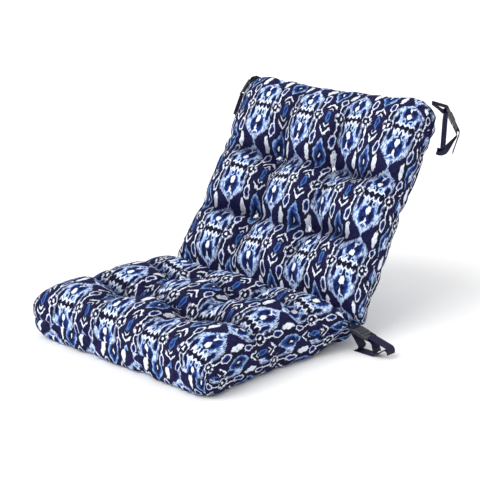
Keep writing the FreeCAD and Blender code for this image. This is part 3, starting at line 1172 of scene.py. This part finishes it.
    def sew(self) -> None:
        """Weld the panels' edges and pin the seam, the mitres and the tufts."""
        piece = self.piece
        places = points_of(piece)
        places[self.rim(), 2] = 0.0
        set_points(piece, places)
        close_up(piece, 0.0002)
        across, along, under = (self.note(key) for key in ("across", "along", "under"))
        rim = self.rim()
        places = points_of(piece)
        upper, _ = self.shape(Panel.SITTING, across, along, False)
        lower, _ = self.shape(Panel.UNDER, across, along, False)
        rest = np.where((under > 0.5)[:, None], lower, upper)
        rest[rim] = places[rim]
        pins = rim.copy()
        for x, row in self.tufts():
            pins |= (np.hypot(rest[:, 0] - x, rest[:, 1] - row) < self.tuft_pin) & ~rim
        self.pucker(places, rim)
        pins |= self.mitre(places, across, along, under)
        piece.shape_key_add(name="sewn")
        key = piece.shape_key_add(name="cut")
        key.data.foreach_set("co", np.ascontiguousarray(rest).ravel())
        piece.data.shape_keys.key_blocks[0].data.foreach_set(
            "co", np.ascontiguousarray(places).ravel())
        set_points(piece, places)
        group = piece.vertex_groups.new(name="sewn")
        group.add([int(index) for index in np.nonzero(pins)[0]], 1.0, "REPLACE")
        self.start = places

    def rim(self) -> np.ndarray:
        """Find the edge seam.

        Returns:
            Whether each vertex lies on it.
        """
        across, along = self.note("across"), self.note("along")
        return np.minimum(np.minimum(across, 1 - across),
                          np.minimum(along, 1 - along)) < 1e-5

    def note(self, name: str) -> np.ndarray:
        """Read one of the cover's stored numbers.

        Args:
            name: "across", "along" or "under".

        Returns:
            The number at each vertex.
        """
        values = np.empty(len(self.piece.data.vertices), np.float32)
        self.piece.data.attributes[name].data.foreach_get("value", values)
        return values.astype(float)

    def pucker(self, places: np.ndarray, rim: np.ndarray) -> None:
        """Draw the edge seam in unevenly, as a gathered seam is.

        Args:
            places: the cover's points, which are moved.
            rim: which of them lie on the seam.
        """
        where = np.nonzero(rim)[0]
        middle = np.array([0.0, self.length / 2])
        angle = np.arctan2(places[where, 1] - middle[1], places[where, 0] - middle[0])
        order = np.argsort(angle)
        ring = where[order]
        small, slow, lift = (blur_noise(len(ring), span, self.seed + step) * reach
                             for step, (span, reach) in enumerate(self.gathers))
        inward = unit_rows(middle - places[ring, :2])
        places[ring, :2] += inward * (self.draw_in + small + slow)[:, None]
        places[ring, 2] += lift

    def mitre(self, places: np.ndarray, across: np.ndarray, along: np.ndarray,
              under: np.ndarray) -> np.ndarray:
        """Draw the under panel's corner darts in.

        Args:
            places: the cover's points, which are moved.
            across: how far across the cloth each lies.
            along: how far from the hinge along the cloth.
            under: 1 for the under panel.

        Returns:
            Which points the darts hold.
        """
        columns, rows = self.cells
        i = np.rint(np.minimum(across, 1 - across) * columns)
        j = np.rint((1 - along) * rows)
        held = (under > 0.5) & (np.abs(i - j) < 0.5) & (j >= 1) & (j <= self.dart_cells)
        inward = np.stack([-np.sign(places[:, 0]), -np.ones(len(places))], -1)
        places[held, :2] += inward[held] * self.dart
        return held

    def inflate(self) -> None:
        """Set up the pressure simulation on the cover."""
        only(self.piece)
        bpy.ops.object.modifier_add(type="CLOTH")
        cloth = self.piece.modifiers[-1]
        settings = cloth.settings
        for key, value in CLOTH_SETTINGS.items():
            setattr(settings, key, value)
        settings.rest_shape_key = self.piece.data.shape_keys.key_blocks["cut"]
        settings.shrink_min = -self.slack
        settings.effector_weights.gravity = 0.0
        cloth.collision_settings.use_collision = False

    def finish(self) -> None:
        """Take the simulated shape, trim it to the space it has, note its valleys for painted
        shade and smooth it.
        """
        piece = self.piece
        graph = bpy.context.evaluated_depsgraph_get()
        shown = piece.evaluated_get(graph)
        places = np.empty(len(piece.data.vertices) * 3)
        shown.data.vertices.foreach_get("co", places)
        places = places.reshape(-1, 3)
        only(piece)
        while piece.modifiers:
            bpy.ops.object.modifier_remove(modifier=piece.modifiers[0].name)
        bpy.ops.object.shape_key_remove(all=True)
        moved = places - self.start
        size = np.linalg.norm(moved, axis=1)
        log.info("%s moved %.1f mm at most, %.1f mm on average", self.name,
                 size.max() * MILLIMETRES, size.mean() * MILLIMETRES)
        keep = np.where(size > 1e-9, self.cap * np.tanh(size / self.cap)
                        / np.maximum(size, 1e-9), 1.0)
        places = self.start + moved * keep[:, None]
        drop = self.folds(places)
        places[:, 2] -= drop
        # store how deep each point lies in the tufts' valleys; the cloth darkens its colour by
        # this as painted shade
        set_note(piece, "fold", np.clip(drop / self.valley, 0, 1))
        set_points(piece, self.trim(places))
        piece.modifiers.new("round", "SUBSURF")
        piece.modifiers[-1].levels = piece.modifiers[-1].render_levels = 1
        apply_all(piece)
        places = self.trim(points_of(piece))
        turned = np.array(self.stand.to_3x3()) @ places.T
        set_points(piece, turned.T + np.array(self.stand.translation))
        for key in ("across", "along", "under"):
            piece.data.attributes.remove(piece.data.attributes[key])
        piece.vertex_groups.clear()
        only(piece)
        bpy.ops.object.shade_smooth()

    def folds(self, places: np.ndarray) -> np.ndarray:
        """How far the tufts' tension draws the sitting side down.

        Valleys join the tufts and run out to the seams, and short creases
        spread from each tuft.

        Args:
            places: the cover's points in the pad's frame.

        Returns:
            The drop at each point.
        """
        u, v, w = places.T
        top = np.clip(w / (0.6 * self.crown), 0.0, 1.0) ** 1.5
        drop = np.zeros(len(places))
        reach = np.clip((HALF_WIDTH - np.abs(u)) / 0.10, 0.0, 1.0)
        for index, row in enumerate(self.tuft_rows):
            bend = self.waver * np.sin(u * 31.0 + index * 2.0 + self.seed)
            line = np.exp(-np.abs((v - row - bend) / self.row_width) ** 1.6)
            inside = np.where(np.abs(u) < self.tuft_x, 0.8, reach + 0.15)
            drop = np.maximum(drop, self.valley * line * inside)
        ends = np.clip(np.minimum(v, self.length - v) / 0.12, 0.0, 1.0)
        for x in (-self.tuft_x, self.tuft_x):
            bend = self.waver * np.sin(v * 27.0 + x * 40.0 + self.seed)
            line = np.exp(-np.abs((u - x - bend) / self.column_width) ** 1.6)
            drop = np.maximum(drop, 0.62 * self.valley * line * ends)
        for index, (x, row) in enumerate(self.tufts()):
            away = np.hypot(u - x, v - row)
            turn = np.arctan2(v - row, u - x)
            ray = (np.sin(7 * turn + index * 1.7 + self.seed)
                   + 0.6 * np.sin(12 * turn + index * 2.9)) * 0.5
            drop += self.crease * ray * np.exp(
                -((away - self.crease_at) / self.crease_width) ** 2)
        return drop * top

    def tufts(self) -> list[tuple[float, float]]:
        """Where the tufts are, across and from the hinge."""
        return [(x, row) for row in self.tuft_rows for x in (-self.tuft_x, self.tuft_x)]

    def trim(self, places: np.ndarray) -> np.ndarray:
        """Keep the cover above the floor and on its own side of the hinge.

        Args:
            places: the cover's points in the pad's frame.

        Returns:
            The points, moved where they have to be.
        """
        places = places.copy()
        if self.rests:
            floor, soft = -SEAM_Z + self.floor_gap, self.floor_soft
            low = places[:, 2] - floor
            places[:, 2] = floor + np.where(low > 6 * soft, low, soft * np.log1p(
                np.exp(np.clip(low / soft, -30, 6))))
        places[:, 2] = np.minimum(places[:, 2], places[:, 1] * self.hinge_lean)
        places[:, 1] = np.maximum(places[:, 1], self.hinge_stop)
        return places

    def dress(self, *nodes: str) -> None:
        """Hang the cover on its body and hide the CAD nodes that it takes the place of.

        Args:
            nodes: the CAD nodes that it takes the place of.
        """
        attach(self.piece, self.body)
        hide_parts(*nodes)
        report(self.piece)


def simulate(covers: list[PadCover], frames: int = 26) -> None:
    """Run the cloth simulation of all covers together.

    Args:
        covers: the covers.
        frames: how many frames to run.
    """
    for cover in covers:
        cover.inflate()
    for frame in range(1, frames + 1):
        bpy.context.scene.frame_set(frame)
    for cover in covers:
        cover.finish()
    bpy.context.scene.frame_set(1)


# ---- twine, thread and webbing --------------------------------------------
def tube(name: str, path: np.ndarray, radii: np.ndarray, around: int,
         finish: bpy.types.Material) -> bpy.types.Object:
    """Wrap a grid round a path as a closed rope.

    Args:
        name: the piece's name.
        path: the points that it follows.
        radii: its radius at each, near nothing at both ends.
        around: how many sides it has.
        finish: its finish.

    Returns:
        The rope.
    """
    piece, grid = new_grid(name, finish, around, len(path) - 1)
    row = np.rint(grid[:, 1] * (len(path) - 1)).astype(int)
    way = unit_rows(np.gradient(path, axis=0))
    side = unit_rows(np.cross(way, ASKEW))
    rise = np.cross(way, side)
    turn = grid[:, 0] * 2.0 * math.pi
    reach = radii[row][:, None]
    set_points(piece, path[row] + reach * (side[row] * np.cos(turn)[:, None]
                                           + rise[row] * np.sin(turn)[:, None]))
    close_up(piece, 0.000004)
    bpy.ops.object.shade_smooth()
    return piece


def rope_radii(count: int, radius: float) -> np.ndarray:
    """Round a rope off at both ends.

    Args:
        count: how many points it follows.
        radius: its radius between the ends.

    Returns:
        The radius at each point.
    """
    share = np.linspace(0.0, 1.0, count)
    ends = np.clip(np.minimum(share, 1.0 - share) * (count - 1) / 2.0, 0.0, 1.0)
    return radius * np.sqrt(1.0 - (1.0 - ends) ** 2) + 1e-7


def copy_of(piece: bpy.types.Object, name: str, move: Matrix) -> bpy.types.Object:
    """Copy a piece with its own mesh, moved.

    Args:
        piece: what to copy.
        name: the copy's name.
        move: where it goes.

    Returns:
        The copy.
    """
    twin = piece.copy()
    twin.data = piece.data.copy()
    twin.name = twin.data.name = name
    bpy.context.collection.objects.link(twin)
    twin.data.transform(move)
    return twin


@dataclass
class TuftTwine:
    """The twine sewn through a pad at each tuft, knotted on both faces."""

    cover: PadCover
    finish: bpy.types.Material
    knot: float = 0.0019
    strand: float = 0.0014
    sides: int = 8
    tail_length: float = 0.0075
    tail_lift: float = 0.0035
    tail_turns: tuple[float, float] = (0.5, 3.4)
    knot_turn: float = 1.3

    def build(self, names: list[str]) -> None:
        """Model one twine and copy it to every tuft.

        Args:
            names: the twines' CAD nodes, in the order of the tufts.
        """
        top = self.cover.crown - self.cover.sink + 0.003
        low = -(self.cover.depth - self.cover.sink_under) - 0.002
        count = 24
        shaft = np.stack([*np.zeros((2, count)), np.linspace(low, top, count)], -1)
        pieces = [tube("twine_shaft", shaft, rope_radii(count, self.strand), self.sides,
                       self.finish)]
        for end, way in ((top, 1.0), (low, -1.0)):
            pieces.append(self.tied(end, way))
            for turn in self.tail_turns:
                pieces.append(self.tail(end, way, turn))
        model = join(pieces)
        for index, (name, (x, row)) in enumerate(zip(names, self.cover.tufts())):
            move = (self.cover.stand @ Matrix.Translation((x, row, 0.0))
                    @ Matrix.Rotation(self.knot_turn * index, 4, "Z"))
            twine = copy_of(model, name.replace("tuft_twine", "tied_twine"), move)
            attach(twine, self.cover.body)
            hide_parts(name)
            report(twine)
        bpy.data.objects.remove(model)

    def tied(self, height: float, way: float) -> bpy.types.Object:
        """Tie the overhand knot on one face.

        Args:
            height: how far the face is from the seam's plane.
            way: 1 or -1, the way the face looks.

        Returns:
            The knot.
        """
        count = 49
        t = np.linspace(0.0, 2.0 * math.pi, count)
        path = np.stack([np.sin(t) + 2.0 * np.sin(2.0 * t),
                         np.cos(t) - 2.0 * np.cos(2.0 * t), -1.1 * np.sin(3.0 * t)], -1)
        path = path * self.knot * 0.62 + np.array([0.0, 0.0, height + way * 0.0008])
        return tube("twine_knot", path, rope_radii(count, self.strand), self.sides,
                    self.finish)

    def tail(self, height: float, way: float, turn: float) -> bpy.types.Object:
        """Lay a cut end against the cloth.

        Args:
            height: how far the face is from the seam's plane.
            way: 1 or -1, the way the face looks.
            turn: which way the end points, in radians.

        Returns:
            The end.
        """
        count = 12
        share = np.linspace(0.0, 1.0, count)
        out = share * self.tail_length
        angle = turn + share * 0.7
        path = np.stack([out * np.cos(angle), out * np.sin(angle),
                         height + way * (self.tail_lift * share ** 1.4)], -1)
        return tube("twine_tail", path, rope_radii(count, self.strand * 0.85),
                    self.sides - 1, self.finish)


@dataclass(frozen=True)
class Hang:
    """The plane in which one strap's webbing turns."""

    root: tuple[float, float, float]
    turn: float
    swing: float
    side: Side

    def axes(self) -> np.ndarray:
        """Work out the plane.

        Returns:
            Rows: root, outwards, up and across the webbing.
        """
        turn, swing = math.radians(self.turn), math.radians(self.swing)
        rows = np.array([
            self.root,
            (math.cos(turn), math.sin(turn) * math.cos(swing),
             -math.sin(turn) * math.sin(swing)),
            (0.0, math.sin(swing), math.cos(swing)),
            (-math.sin(turn), math.cos(turn) * math.cos(swing),
             -math.cos(turn) * math.sin(swing))])
        rows[:, 0] *= self.side.value
        return rows

    def spot(self, x: float, z: float) -> tuple[float, float, float]:
        """Find a point of the plane.

        Args:
            x: how far out it is.
            z: how far up.

        Returns:
            The point, in the cushion's frame.
        """
        root, out, up, _ = self.axes()
        return tuple(float(value) for value in root + out * x + up * z)


@dataclass(frozen=True)
class BuckleLine:
    """The line of a strap's buckle, in the strap's plane."""

    bar: tuple[float, float]
    slope: float
    wrap: float = 0.003
    tight: float = 0.00275
    bars_apart: float = 0.0262 + 0.0165

    def near(self, bar: tuple[float, float], out: float, along: float,
             radius: float = 0.0) -> tuple[float, float, float]:
        """Place a path corner by a bar.

        Args:
            bar: the bar.
            out: how far across the buckle from it.
            along: how far along the buckle from it.
            radius: the corner's rounding.

        Returns:
            The corner in the strap's plane, with its rounding.
        """
        way = math.radians(self.slope)
        return (bar[0] - out * math.sin(way) + along * math.cos(way),
                bar[1] + out * math.cos(way) + along * math.sin(way), radius)

    def clip(self) -> tuple[float, float]:
        """Where the clip's bar is."""
        return self.near(self.bar, 0.0, self.bars_apart)[:2]

    def short(self, start: tuple[float, float], bend: float,
              end: float) -> list[tuple[float, float, float]]:
        """Lay the path of the strap that holds the socket.

        Args:
            start: where it is sewn in.
            bend: the rounding where it turns to the buckle.
            end: where its end lies, along the buckle from the bar.

        Returns:
            The path's corners with their roundings.
        """
        lead = (start[1] - self.near(self.bar, self.tight, 0.0)[1]) / -math.sin(
            math.radians(self.slope))
        turn = self.tight - ARC_PLAY
        return [(*start, 0.0), self.near(self.bar, self.tight, -lead, bend),
                self.near(self.bar, self.tight, self.tight, turn),
                self.near(self.bar, -self.tight, self.tight, turn),
                self.near(self.bar, -self.tight, end)]


def rounded(corners: list[tuple[float, float, float]]) -> np.ndarray:
    """Follow straight runs joined by arcs.

    Args:
        corners: (x, z, radius) for each corner.

    Returns:
        Points along the path, at most 5 mm apart.
    """
    spots = [np.array(corners[0][:2])]
    for before, corner, after in zip(corners, corners[1:], corners[2:]):
        here = np.array(corner[:2])
        back = np.array(before[:2]) - here
        ahead = np.array(after[:2]) - here
        back, ahead = back / np.linalg.norm(back), ahead / np.linalg.norm(ahead)
        half = math.acos(float(np.clip(back @ ahead, -1, 1))) / 2.0
        middle = here + (back + ahead) / np.linalg.norm(back + ahead) * (
            corner[2] / math.sin(half))
        first = here + back * (corner[2] / math.tan(half)) - middle
        turn = math.pi - 2.0 * half
        if first[0] * ahead[1] - first[1] * ahead[0] < 0:
            turn = -turn
        for share in np.linspace(0.0, 1.0, max(4, int(abs(turn) * 7))):
            c, s = math.cos(turn * share), math.sin(turn * share)
            spots.append(middle + np.array([c * first[0] - s * first[1],
                                            s * first[0] + c * first[1]]))
    spots.append(np.array(corners[-1][:2]))
    path = [spots[0]]
    for start, end in zip(spots, spots[1:]):
        gap = float(np.linalg.norm(end - start))
        if gap < 1e-7:
            continue
        count = max(1, math.ceil(gap / 0.005))
        path += [start + (end - start) * (step + 1) / count for step in range(count)]
    return np.array(path)


@dataclass
class Webbing:
    """One run of woven webbing."""

    name: str
    hang: Hang
    path: np.ndarray
    twist: float = 0.0
    free: tuple[float, float] = (0.0, 1.0)
    width: float = 0.0248
    thick: float = 0.00135
    columns: int = 6
    edge: float = 0.0003
    selvedge: float = 0.0025
    twist_ease: float = 4.0
    piece: bpy.types.Object | None = field(default=None, repr=False)

    def build(self, finish: bpy.types.Material) -> bpy.types.Object:
        """Lay a grid along the path and give it its thickness.

        Args:
            finish: the webbing's finish.

        Returns:
            The webbing.
        """
        rows = len(self.path) - 1
        piece, grid = new_grid(self.name, finish, self.columns, rows)
        row = np.rint(grid[:, 1] * rows).astype(int)
        across = (grid[:, 0] - 0.5) * self.width
        length, wide = self.measure()
        root, out, up, _ = self.hang.axes()
        set_points(piece, root + self.path[row, :1] * out + self.path[row, 1:] * up
                   + across[:, None] * wide[row])
        set_prints(piece, np.stack([across, length[row]], -1))
        piece.modifiers.new("thick", "SOLIDIFY")
        piece.modifiers[-1].thickness = self.thick
        piece.modifiers[-1].offset = 0.0
        piece.modifiers.new("edge", "BEVEL")
        piece.modifiers[-1].width = self.edge
        piece.modifiers[-1].limit_method = "ANGLE"
        piece.modifiers[-1].angle_limit = math.radians(60.0)
        apply_all(piece)
        close_up(piece)
        bpy.ops.object.shade_smooth_by_angle(angle=math.radians(40.0))
        self.piece = piece
        return piece

    def measure(self) -> tuple[np.ndarray, np.ndarray]:
        """Measure the path.

        Returns:
            Length along it, and the way across the webbing, at each point.
        """
        steps = np.linalg.norm(np.diff(self.path, axis=0), axis=1)
        length = np.concatenate([[0.0], np.cumsum(steps)])
        _, out, up, wide = self.hang.axes()
        way = unit_rows(np.gradient(self.path, axis=0))
        normal = np.cross(way[:, :1] * out + way[:, 1:] * up, wide)
        start, end = self.free
        share = np.clip((length - start) / (end - start), 0.0, 1.0)
        angle = eased(np.clip(self.twist_ease * np.minimum(share, 1.0 - share),
                              0.0, 1.0)) * math.radians(self.twist)
        return length, wide * np.cos(angle)[:, None] + normal * np.sin(angle)[:, None]

    def stitch_places(self, from_start: float, count: int, face: float) -> list[Matrix]:
        """Where a row of stitches across the webbing lies.

        Args:
            from_start: the row's place along the webbing.
            count: how many stitches.
            face: 1 or -1 for the webbing's two faces.

        Returns:
            One matrix for each stitch.
        """
        length, _ = self.measure()
        root, out, up, wide = self.hang.axes()
        here = np.array([np.interp(from_start, length, self.path[:, axis])
                         for axis in (0, 1)])
        index = int(np.clip(np.searchsorted(length, from_start), 1, len(length) - 1))
        way = self.path[index] - self.path[index - 1]
        way = way / np.linalg.norm(way)
        forward = way[0] * out + way[1] * up
        above = np.cross(forward, wide) * face
        places = []
        for step in np.linspace(-0.5, 0.5, count):
            spot = (root + here[0] * out + here[1] * up
                    + wide * step * (self.width - 2 * self.selvedge) + above * (self.thick / 2))
            places.append(Matrix((*[(*row, spot[axis]) for axis, row in enumerate(
                np.stack([wide, np.cross(above, wide), above], -1))], (0, 0, 0, 1))))
        return places


@dataclass
class Sewing:
    """Rows of stitches made from one modelled stitch."""

    name: str
    body: str
    finish: bpy.types.Material
    length: float = 0.0026
    thread: float = 0.00034
    piece: bpy.types.Object | None = field(default=None, repr=False)

    def build(self, places: list[Matrix]) -> bpy.types.Object:
        """Model one stitch and copy it to each place.

        Args:
            places: where the stitches lie, along X with Z out of the cloth.

        Returns:
            The stitches as one piece.
        """
        share = np.linspace(-1.0, 1.0, 7)
        path = np.stack([share * self.length / 2, np.zeros(7),
                         self.thread * (0.9 - 1.5 * share ** 4)], -1)
        model = tube(self.name, path, rope_radii(7, self.thread), 6, self.finish)
        copies = [copy_of(model, self.name + "_copy", place) for place in places]
        bpy.data.objects.remove(model)
        piece = join(copies)
        piece.name = piece.data.name = self.name
        self.piece = piece
        return piece


class Place(Enum):
    """Which straps: those at the back pad's top or those at the hinge line."""

    TOP = "back_pad"
    HINGE = "seat_pad"


@dataclass
class StrapPair:
    """A short and a long strap with their buckle, at one corner."""

    where: Place
    side: Side
    finishes: Finishes
    top_twist: float = 24.0
    free_start: float = 0.075
    free_end: float = 0.012
    tail_rows: tuple[float, float] = (0.004, 0.0065)
    row_stitches: int = 6

    def __post_init__(self) -> None:
        """Lay out the corner's paths."""
        self.key = self.where.name.lower() + "_" + self.side.name.lower()
        self.pad = self.where.value
        self.clip_body = self.key + "_clip"
        lay_out = self.top if self.where is Place.TOP else self.hinge
        self.hang, self.short, self.long, self.ends = lay_out()

    def top(self) -> tuple[Hang, list, list, tuple]:
        """Lay out the hanging loop.

        Returns:
            Its plane, its two paths and two points in its plane.
        """
        hang = Hang((0.25332, 0.48839, 0.47072), 30.0, 28.0, self.side)
        line = BuckleLine((0.026, -0.008), -48.0)
        clip, wrap = line.clip(), line.wrap
        turn = wrap - ARC_PLAY
        short = line.short((-0.012, 0.0008), 0.006, -0.002)
        long = [(0.0625, -0.090, 0.0), line.near(clip, wrap, 0.009, 0.008),
                line.near(clip, wrap, -wrap, turn), line.near(clip, -wrap, -wrap, turn),
                line.near(clip, -wrap, 0.012, 0.008), (0.044, -0.096, 0.013),
                (0.020, -0.096, 0.010), (0.020, -0.001, 0.005), (-0.012, -0.001, 0.0)]
        return hang, short, long, ((0.021, -0.06), (0.043, -0.06))

    def hinge(self) -> tuple[Hang, list, list, tuple]:
        """Lay out the loop that lies on the floor.

        Returns:
            Its plane, its two paths and two points in its plane.
        """
        root, floor = 0.00165, -0.04495
        hang = Hang((HALF_WIDTH, 0.2085, SEAM_Z), 0.0, 0.0, self.side)
        line = BuckleLine((0.005, -0.0012), -14.0)
        clip, wrap = line.clip(), line.wrap
        turn = wrap - ARC_PLAY
        short = line.short((-0.022, root), 0.004, -0.0006)
        tail = line.near(clip, -wrap, 0.012, 0.010)
        droop = math.radians(line.slope - 58.5)
        long = [(tail[0] + 0.022 * math.cos(droop), tail[1] + 0.022 * math.sin(droop), 0.0),
                tail, line.near(clip, -wrap, -wrap, turn),
                line.near(clip, wrap, -wrap, turn), line.near(clip, wrap, 0.052, 0.009),
                (0.0995, floor + 0.0025, 0.009), (0.060, floor, 0.040),
                (0.0016, floor, 0.012), (0.0016, -root, 0.0023), (-0.022, -root, 0.0)]
        return hang, short, long, ((0.006, -0.03), (0.042, -0.03))

    def build(self) -> None:
        """Model both straps and their stitching."""
        short = Webbing(self.key + "_buckle_tab", self.hang, rounded(self.short))
        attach(short.build(self.finishes.webbing), self.pad)
        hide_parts(self.key + "_short_strap")
        path = rounded(self.long)
        full = float(np.linalg.norm(np.diff(path, axis=0), axis=1).sum())
        twist = self.top_twist if self.where is Place.TOP else 0.0
        long = Webbing(self.key + "_tie_webbing", self.hang, path, twist,
                       (self.free_start, full - self.free_end))
        long.build(self.finishes.webbing)
        tail = Sewing(self.key + "_tail_stitching", self.clip_body, self.finishes.bar_tack)
        places = []
        for offset in self.tail_rows:
            for face in (1.0, -1.0):
                places += long.stitch_places(offset, self.row_stitches, face)
        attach(tail.build(places), self.clip_body)
        start, end = (self.hang.spot(*place) for place in self.ends)
        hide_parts(self.key + "_long_strap")
        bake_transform(long.piece)
        for piece in (short.piece, long.piece, tail.piece):
            report(piece)


@dataclass
class HingeCloth:
    """The folded cloth strip that joins the two pads, and its stitches."""

    finishes: Finishes
    reach: float = HALF_WIDTH - 0.025
    radius: float = 0.0026
    rings: int = 160
    stitch: float = 0.0062
    thread: float = 0.0005
    pitch: float = 0.0084
    blend_half: float = 0.0022

    def build(self) -> None:
        """Model the strip and the line of stitches along it."""
        reach, count = self.reach, self.rings
        share = np.linspace(-1.0, 1.0, count)
        path = np.stack([share * reach, HINGE_Y + 0.0004 * np.sin(share * 61.0),
                         SEAM_Z + 0.0005 * np.sin(share * 97.0 + 1.0)], -1)
        swell = 1.0 + 0.07 * np.sin(share * 250.0)
        strip = tube("hinge_cloth_strip", path, rope_radii(count, self.radius) * swell, 12,
                     self.finishes.cloth)
        flat = points_of(strip)
        set_prints(strip, np.stack(
            [flat[:, 0] + 0.028, (flat[:, 1] - HINGE_Y) * 1.6 - 0.0548], -1))
        sewing = Sewing("hinge_line_stitching", "seat_pad", self.finishes.thread,
                        length=self.stitch, thread=self.thread)
        steps = np.arange(-reach + 0.006, reach - 0.005, self.pitch)
        stitches = sewing.build([Matrix.Translation((x, HINGE_Y, SEAM_Z + self.radius))
                                 for x in steps])
        for piece, node in ((strip, "hinge_seam_strip"), (stitches, "hinge_stitching")):
            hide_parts(node)
            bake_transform(piece)
            report(piece)


# ---- room, lights and camera ----------------------------------------------
@dataclass
class Studio:
    """Pale floor, soft lights and the camera."""

    azimuth: float = 44.9
    elevation: float = 17.2
    distance: float = 2.682
    focal: float = 1300.0
    shift: tuple[float, float] = (50.5, 32.7)
    picture: float = 480.0
    sensor: float = 36.0
    aim: tuple[float, float, float] = (0.0, 0.0, 0.15)
    key: float = 2.1
    key_spread: float = 48.0
    key_from: tuple[float, float, float] = (-0.15, -0.74, 0.65)
    ambient: float = 0.98

    def build(self) -> None:
        """Add the floor, the lights and the camera."""
        scene = bpy.context.scene
        scene.view_settings.view_transform = "Standard"
        scene.view_settings.look = "None"
        paint = Paint("pale_floor")
        tone = paint.noise(paint.object_place(), 3.0, 2.0)
        floor_finish = paint.surface(
            {"Base Color": paint.blend(tone, (0.90, 0.90, 0.90), (0.93, 0.93, 0.93)),
             "Roughness": 0.75, "Specular IOR Level": 0.1})
        bpy.ops.object.select_all(action="DESELECT")
        bpy.ops.mesh.primitive_plane_add(size=60.0, location=(0, 0, 0))
        floor = name_piece("floor", floor_finish)
        world = bpy.data.worlds.new("studio")
        scene.world = world
        world.use_nodes = True
        sky = world.node_tree.nodes["Background"].inputs
        sky["Color"].default_value = (1, 1, 1, 1)
        sky["Strength"].default_value = self.ambient
        bpy.ops.object.light_add(type="SUN", location=(-0.3, -2.2, 3.0))
        sun = bpy.context.object
        sun.name = "soft_key"
        sun.data.energy = self.key
        sun.data.angle = math.radians(self.key_spread)
        sun.rotation_euler = Vector(self.key_from).to_track_quat("Z", "Y").to_euler()
        self.camera()

    def camera(self) -> None:
        """Add the camera and make it the scene's."""
        az, el = math.radians(self.azimuth), math.radians(self.elevation)
        back = Vector((math.sin(az) * math.cos(el), -math.cos(az) * math.cos(el),
                       math.sin(el)))
        eye = Vector(self.aim) + back * self.distance
        bpy.ops.object.camera_add(location=eye)
        camera = bpy.context.object
        camera.rotation_euler = (-back).to_track_quat("-Z", "Y").to_euler()
        camera.data.sensor_width = self.sensor
        camera.data.lens = self.focal / self.picture * self.sensor
        camera.data.shift_x = self.shift[0] / self.picture
        camera.data.shift_y = self.shift[1] / self.picture
        camera.data.clip_end = 80.0
        bpy.context.scene.camera = camera


def pad_frames() -> tuple[Matrix, Matrix]:
    """Where the seat pad and the back pad lie.

    Returns:
        From (across, from the hinge, up from the seam) to the cushion's frame.
    """
    seat = Matrix(((1, 0, 0, 0), (0, -1, 0, HINGE_Y), (0, 0, 1, SEAM_Z), (0, 0, 0, 1)))
    s, c = math.sin(RECLINE), math.cos(RECLINE)
    back = Matrix(((1, 0, 0, 0), (0, s, -c, HINGE_Y), (0, c, s, SEAM_Z), (0, 0, 0, 1)))
    return seat, back


def main() -> None:
    """Build the cushion piece by piece."""
    logging.basicConfig(level=logging.INFO, format="%(message)s")
    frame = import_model()
    finishes = Finishes()
    seat_frame, back_frame = pad_frames()
    seat = PadCover(
        "seat_cushion_cover", "seat_pad", length=0.446, crown=0.062, depth=0.046,
        tuft_x=0.084, tuft_rows=(0.150, 0.296), pull_in=0.008, wedge=0.0,
        phase=(0.026, -0.0400), stand=seat_frame, rests=True, seed=11, cells=(84, 70),
        valley=0.019, sink=0.032)
    back = PadCover(
        "back_cushion_cover", "back_pad", length=0.508, crown=0.047, depth=0.046,
        tuft_x=0.078, tuft_rows=(0.168, 0.310), pull_in=0.009, wedge=0.26,
        phase=(0.026, -0.0234), stand=back_frame, rests=False, seed=23, cells=(84, 80),
        outer_corner=0.074, sink=0.026, slack=0.05, valley=0.020)
    covers = [seat, back]
    for cover in covers:
        cover.build(finishes.cloth)
    simulate(covers)
    seat.dress("seat_top_panel", "seat_bottom_panel", "seat_fibre_fill",
               "seat_seam_allowance")
    back.dress("back_front_panel", "back_rear_panel", "back_fibre_fill",
               "back_seam_allowance")
    for cover, name, ends in ((seat, "seat", ("rear", "front")),
                              (back, "back", ("lower", "upper"))):
        TuftTwine(cover, finishes.twine).build(
            [name + "_tuft_twine_" + end + "_" + side for end in ends
             for side in ("left", "right")])
    for side in Side:
        for where in Place:
            StrapPair(where, side, finishes).build()
    HingeCloth(finishes).build()
    for name, node in frame["nodes"].items():
        if "buckle" in name:
            node.data.materials.clear()
            node.data.materials.append(finishes.buckle)
    Studio().build()


if __name__ == "__main__":
    main()
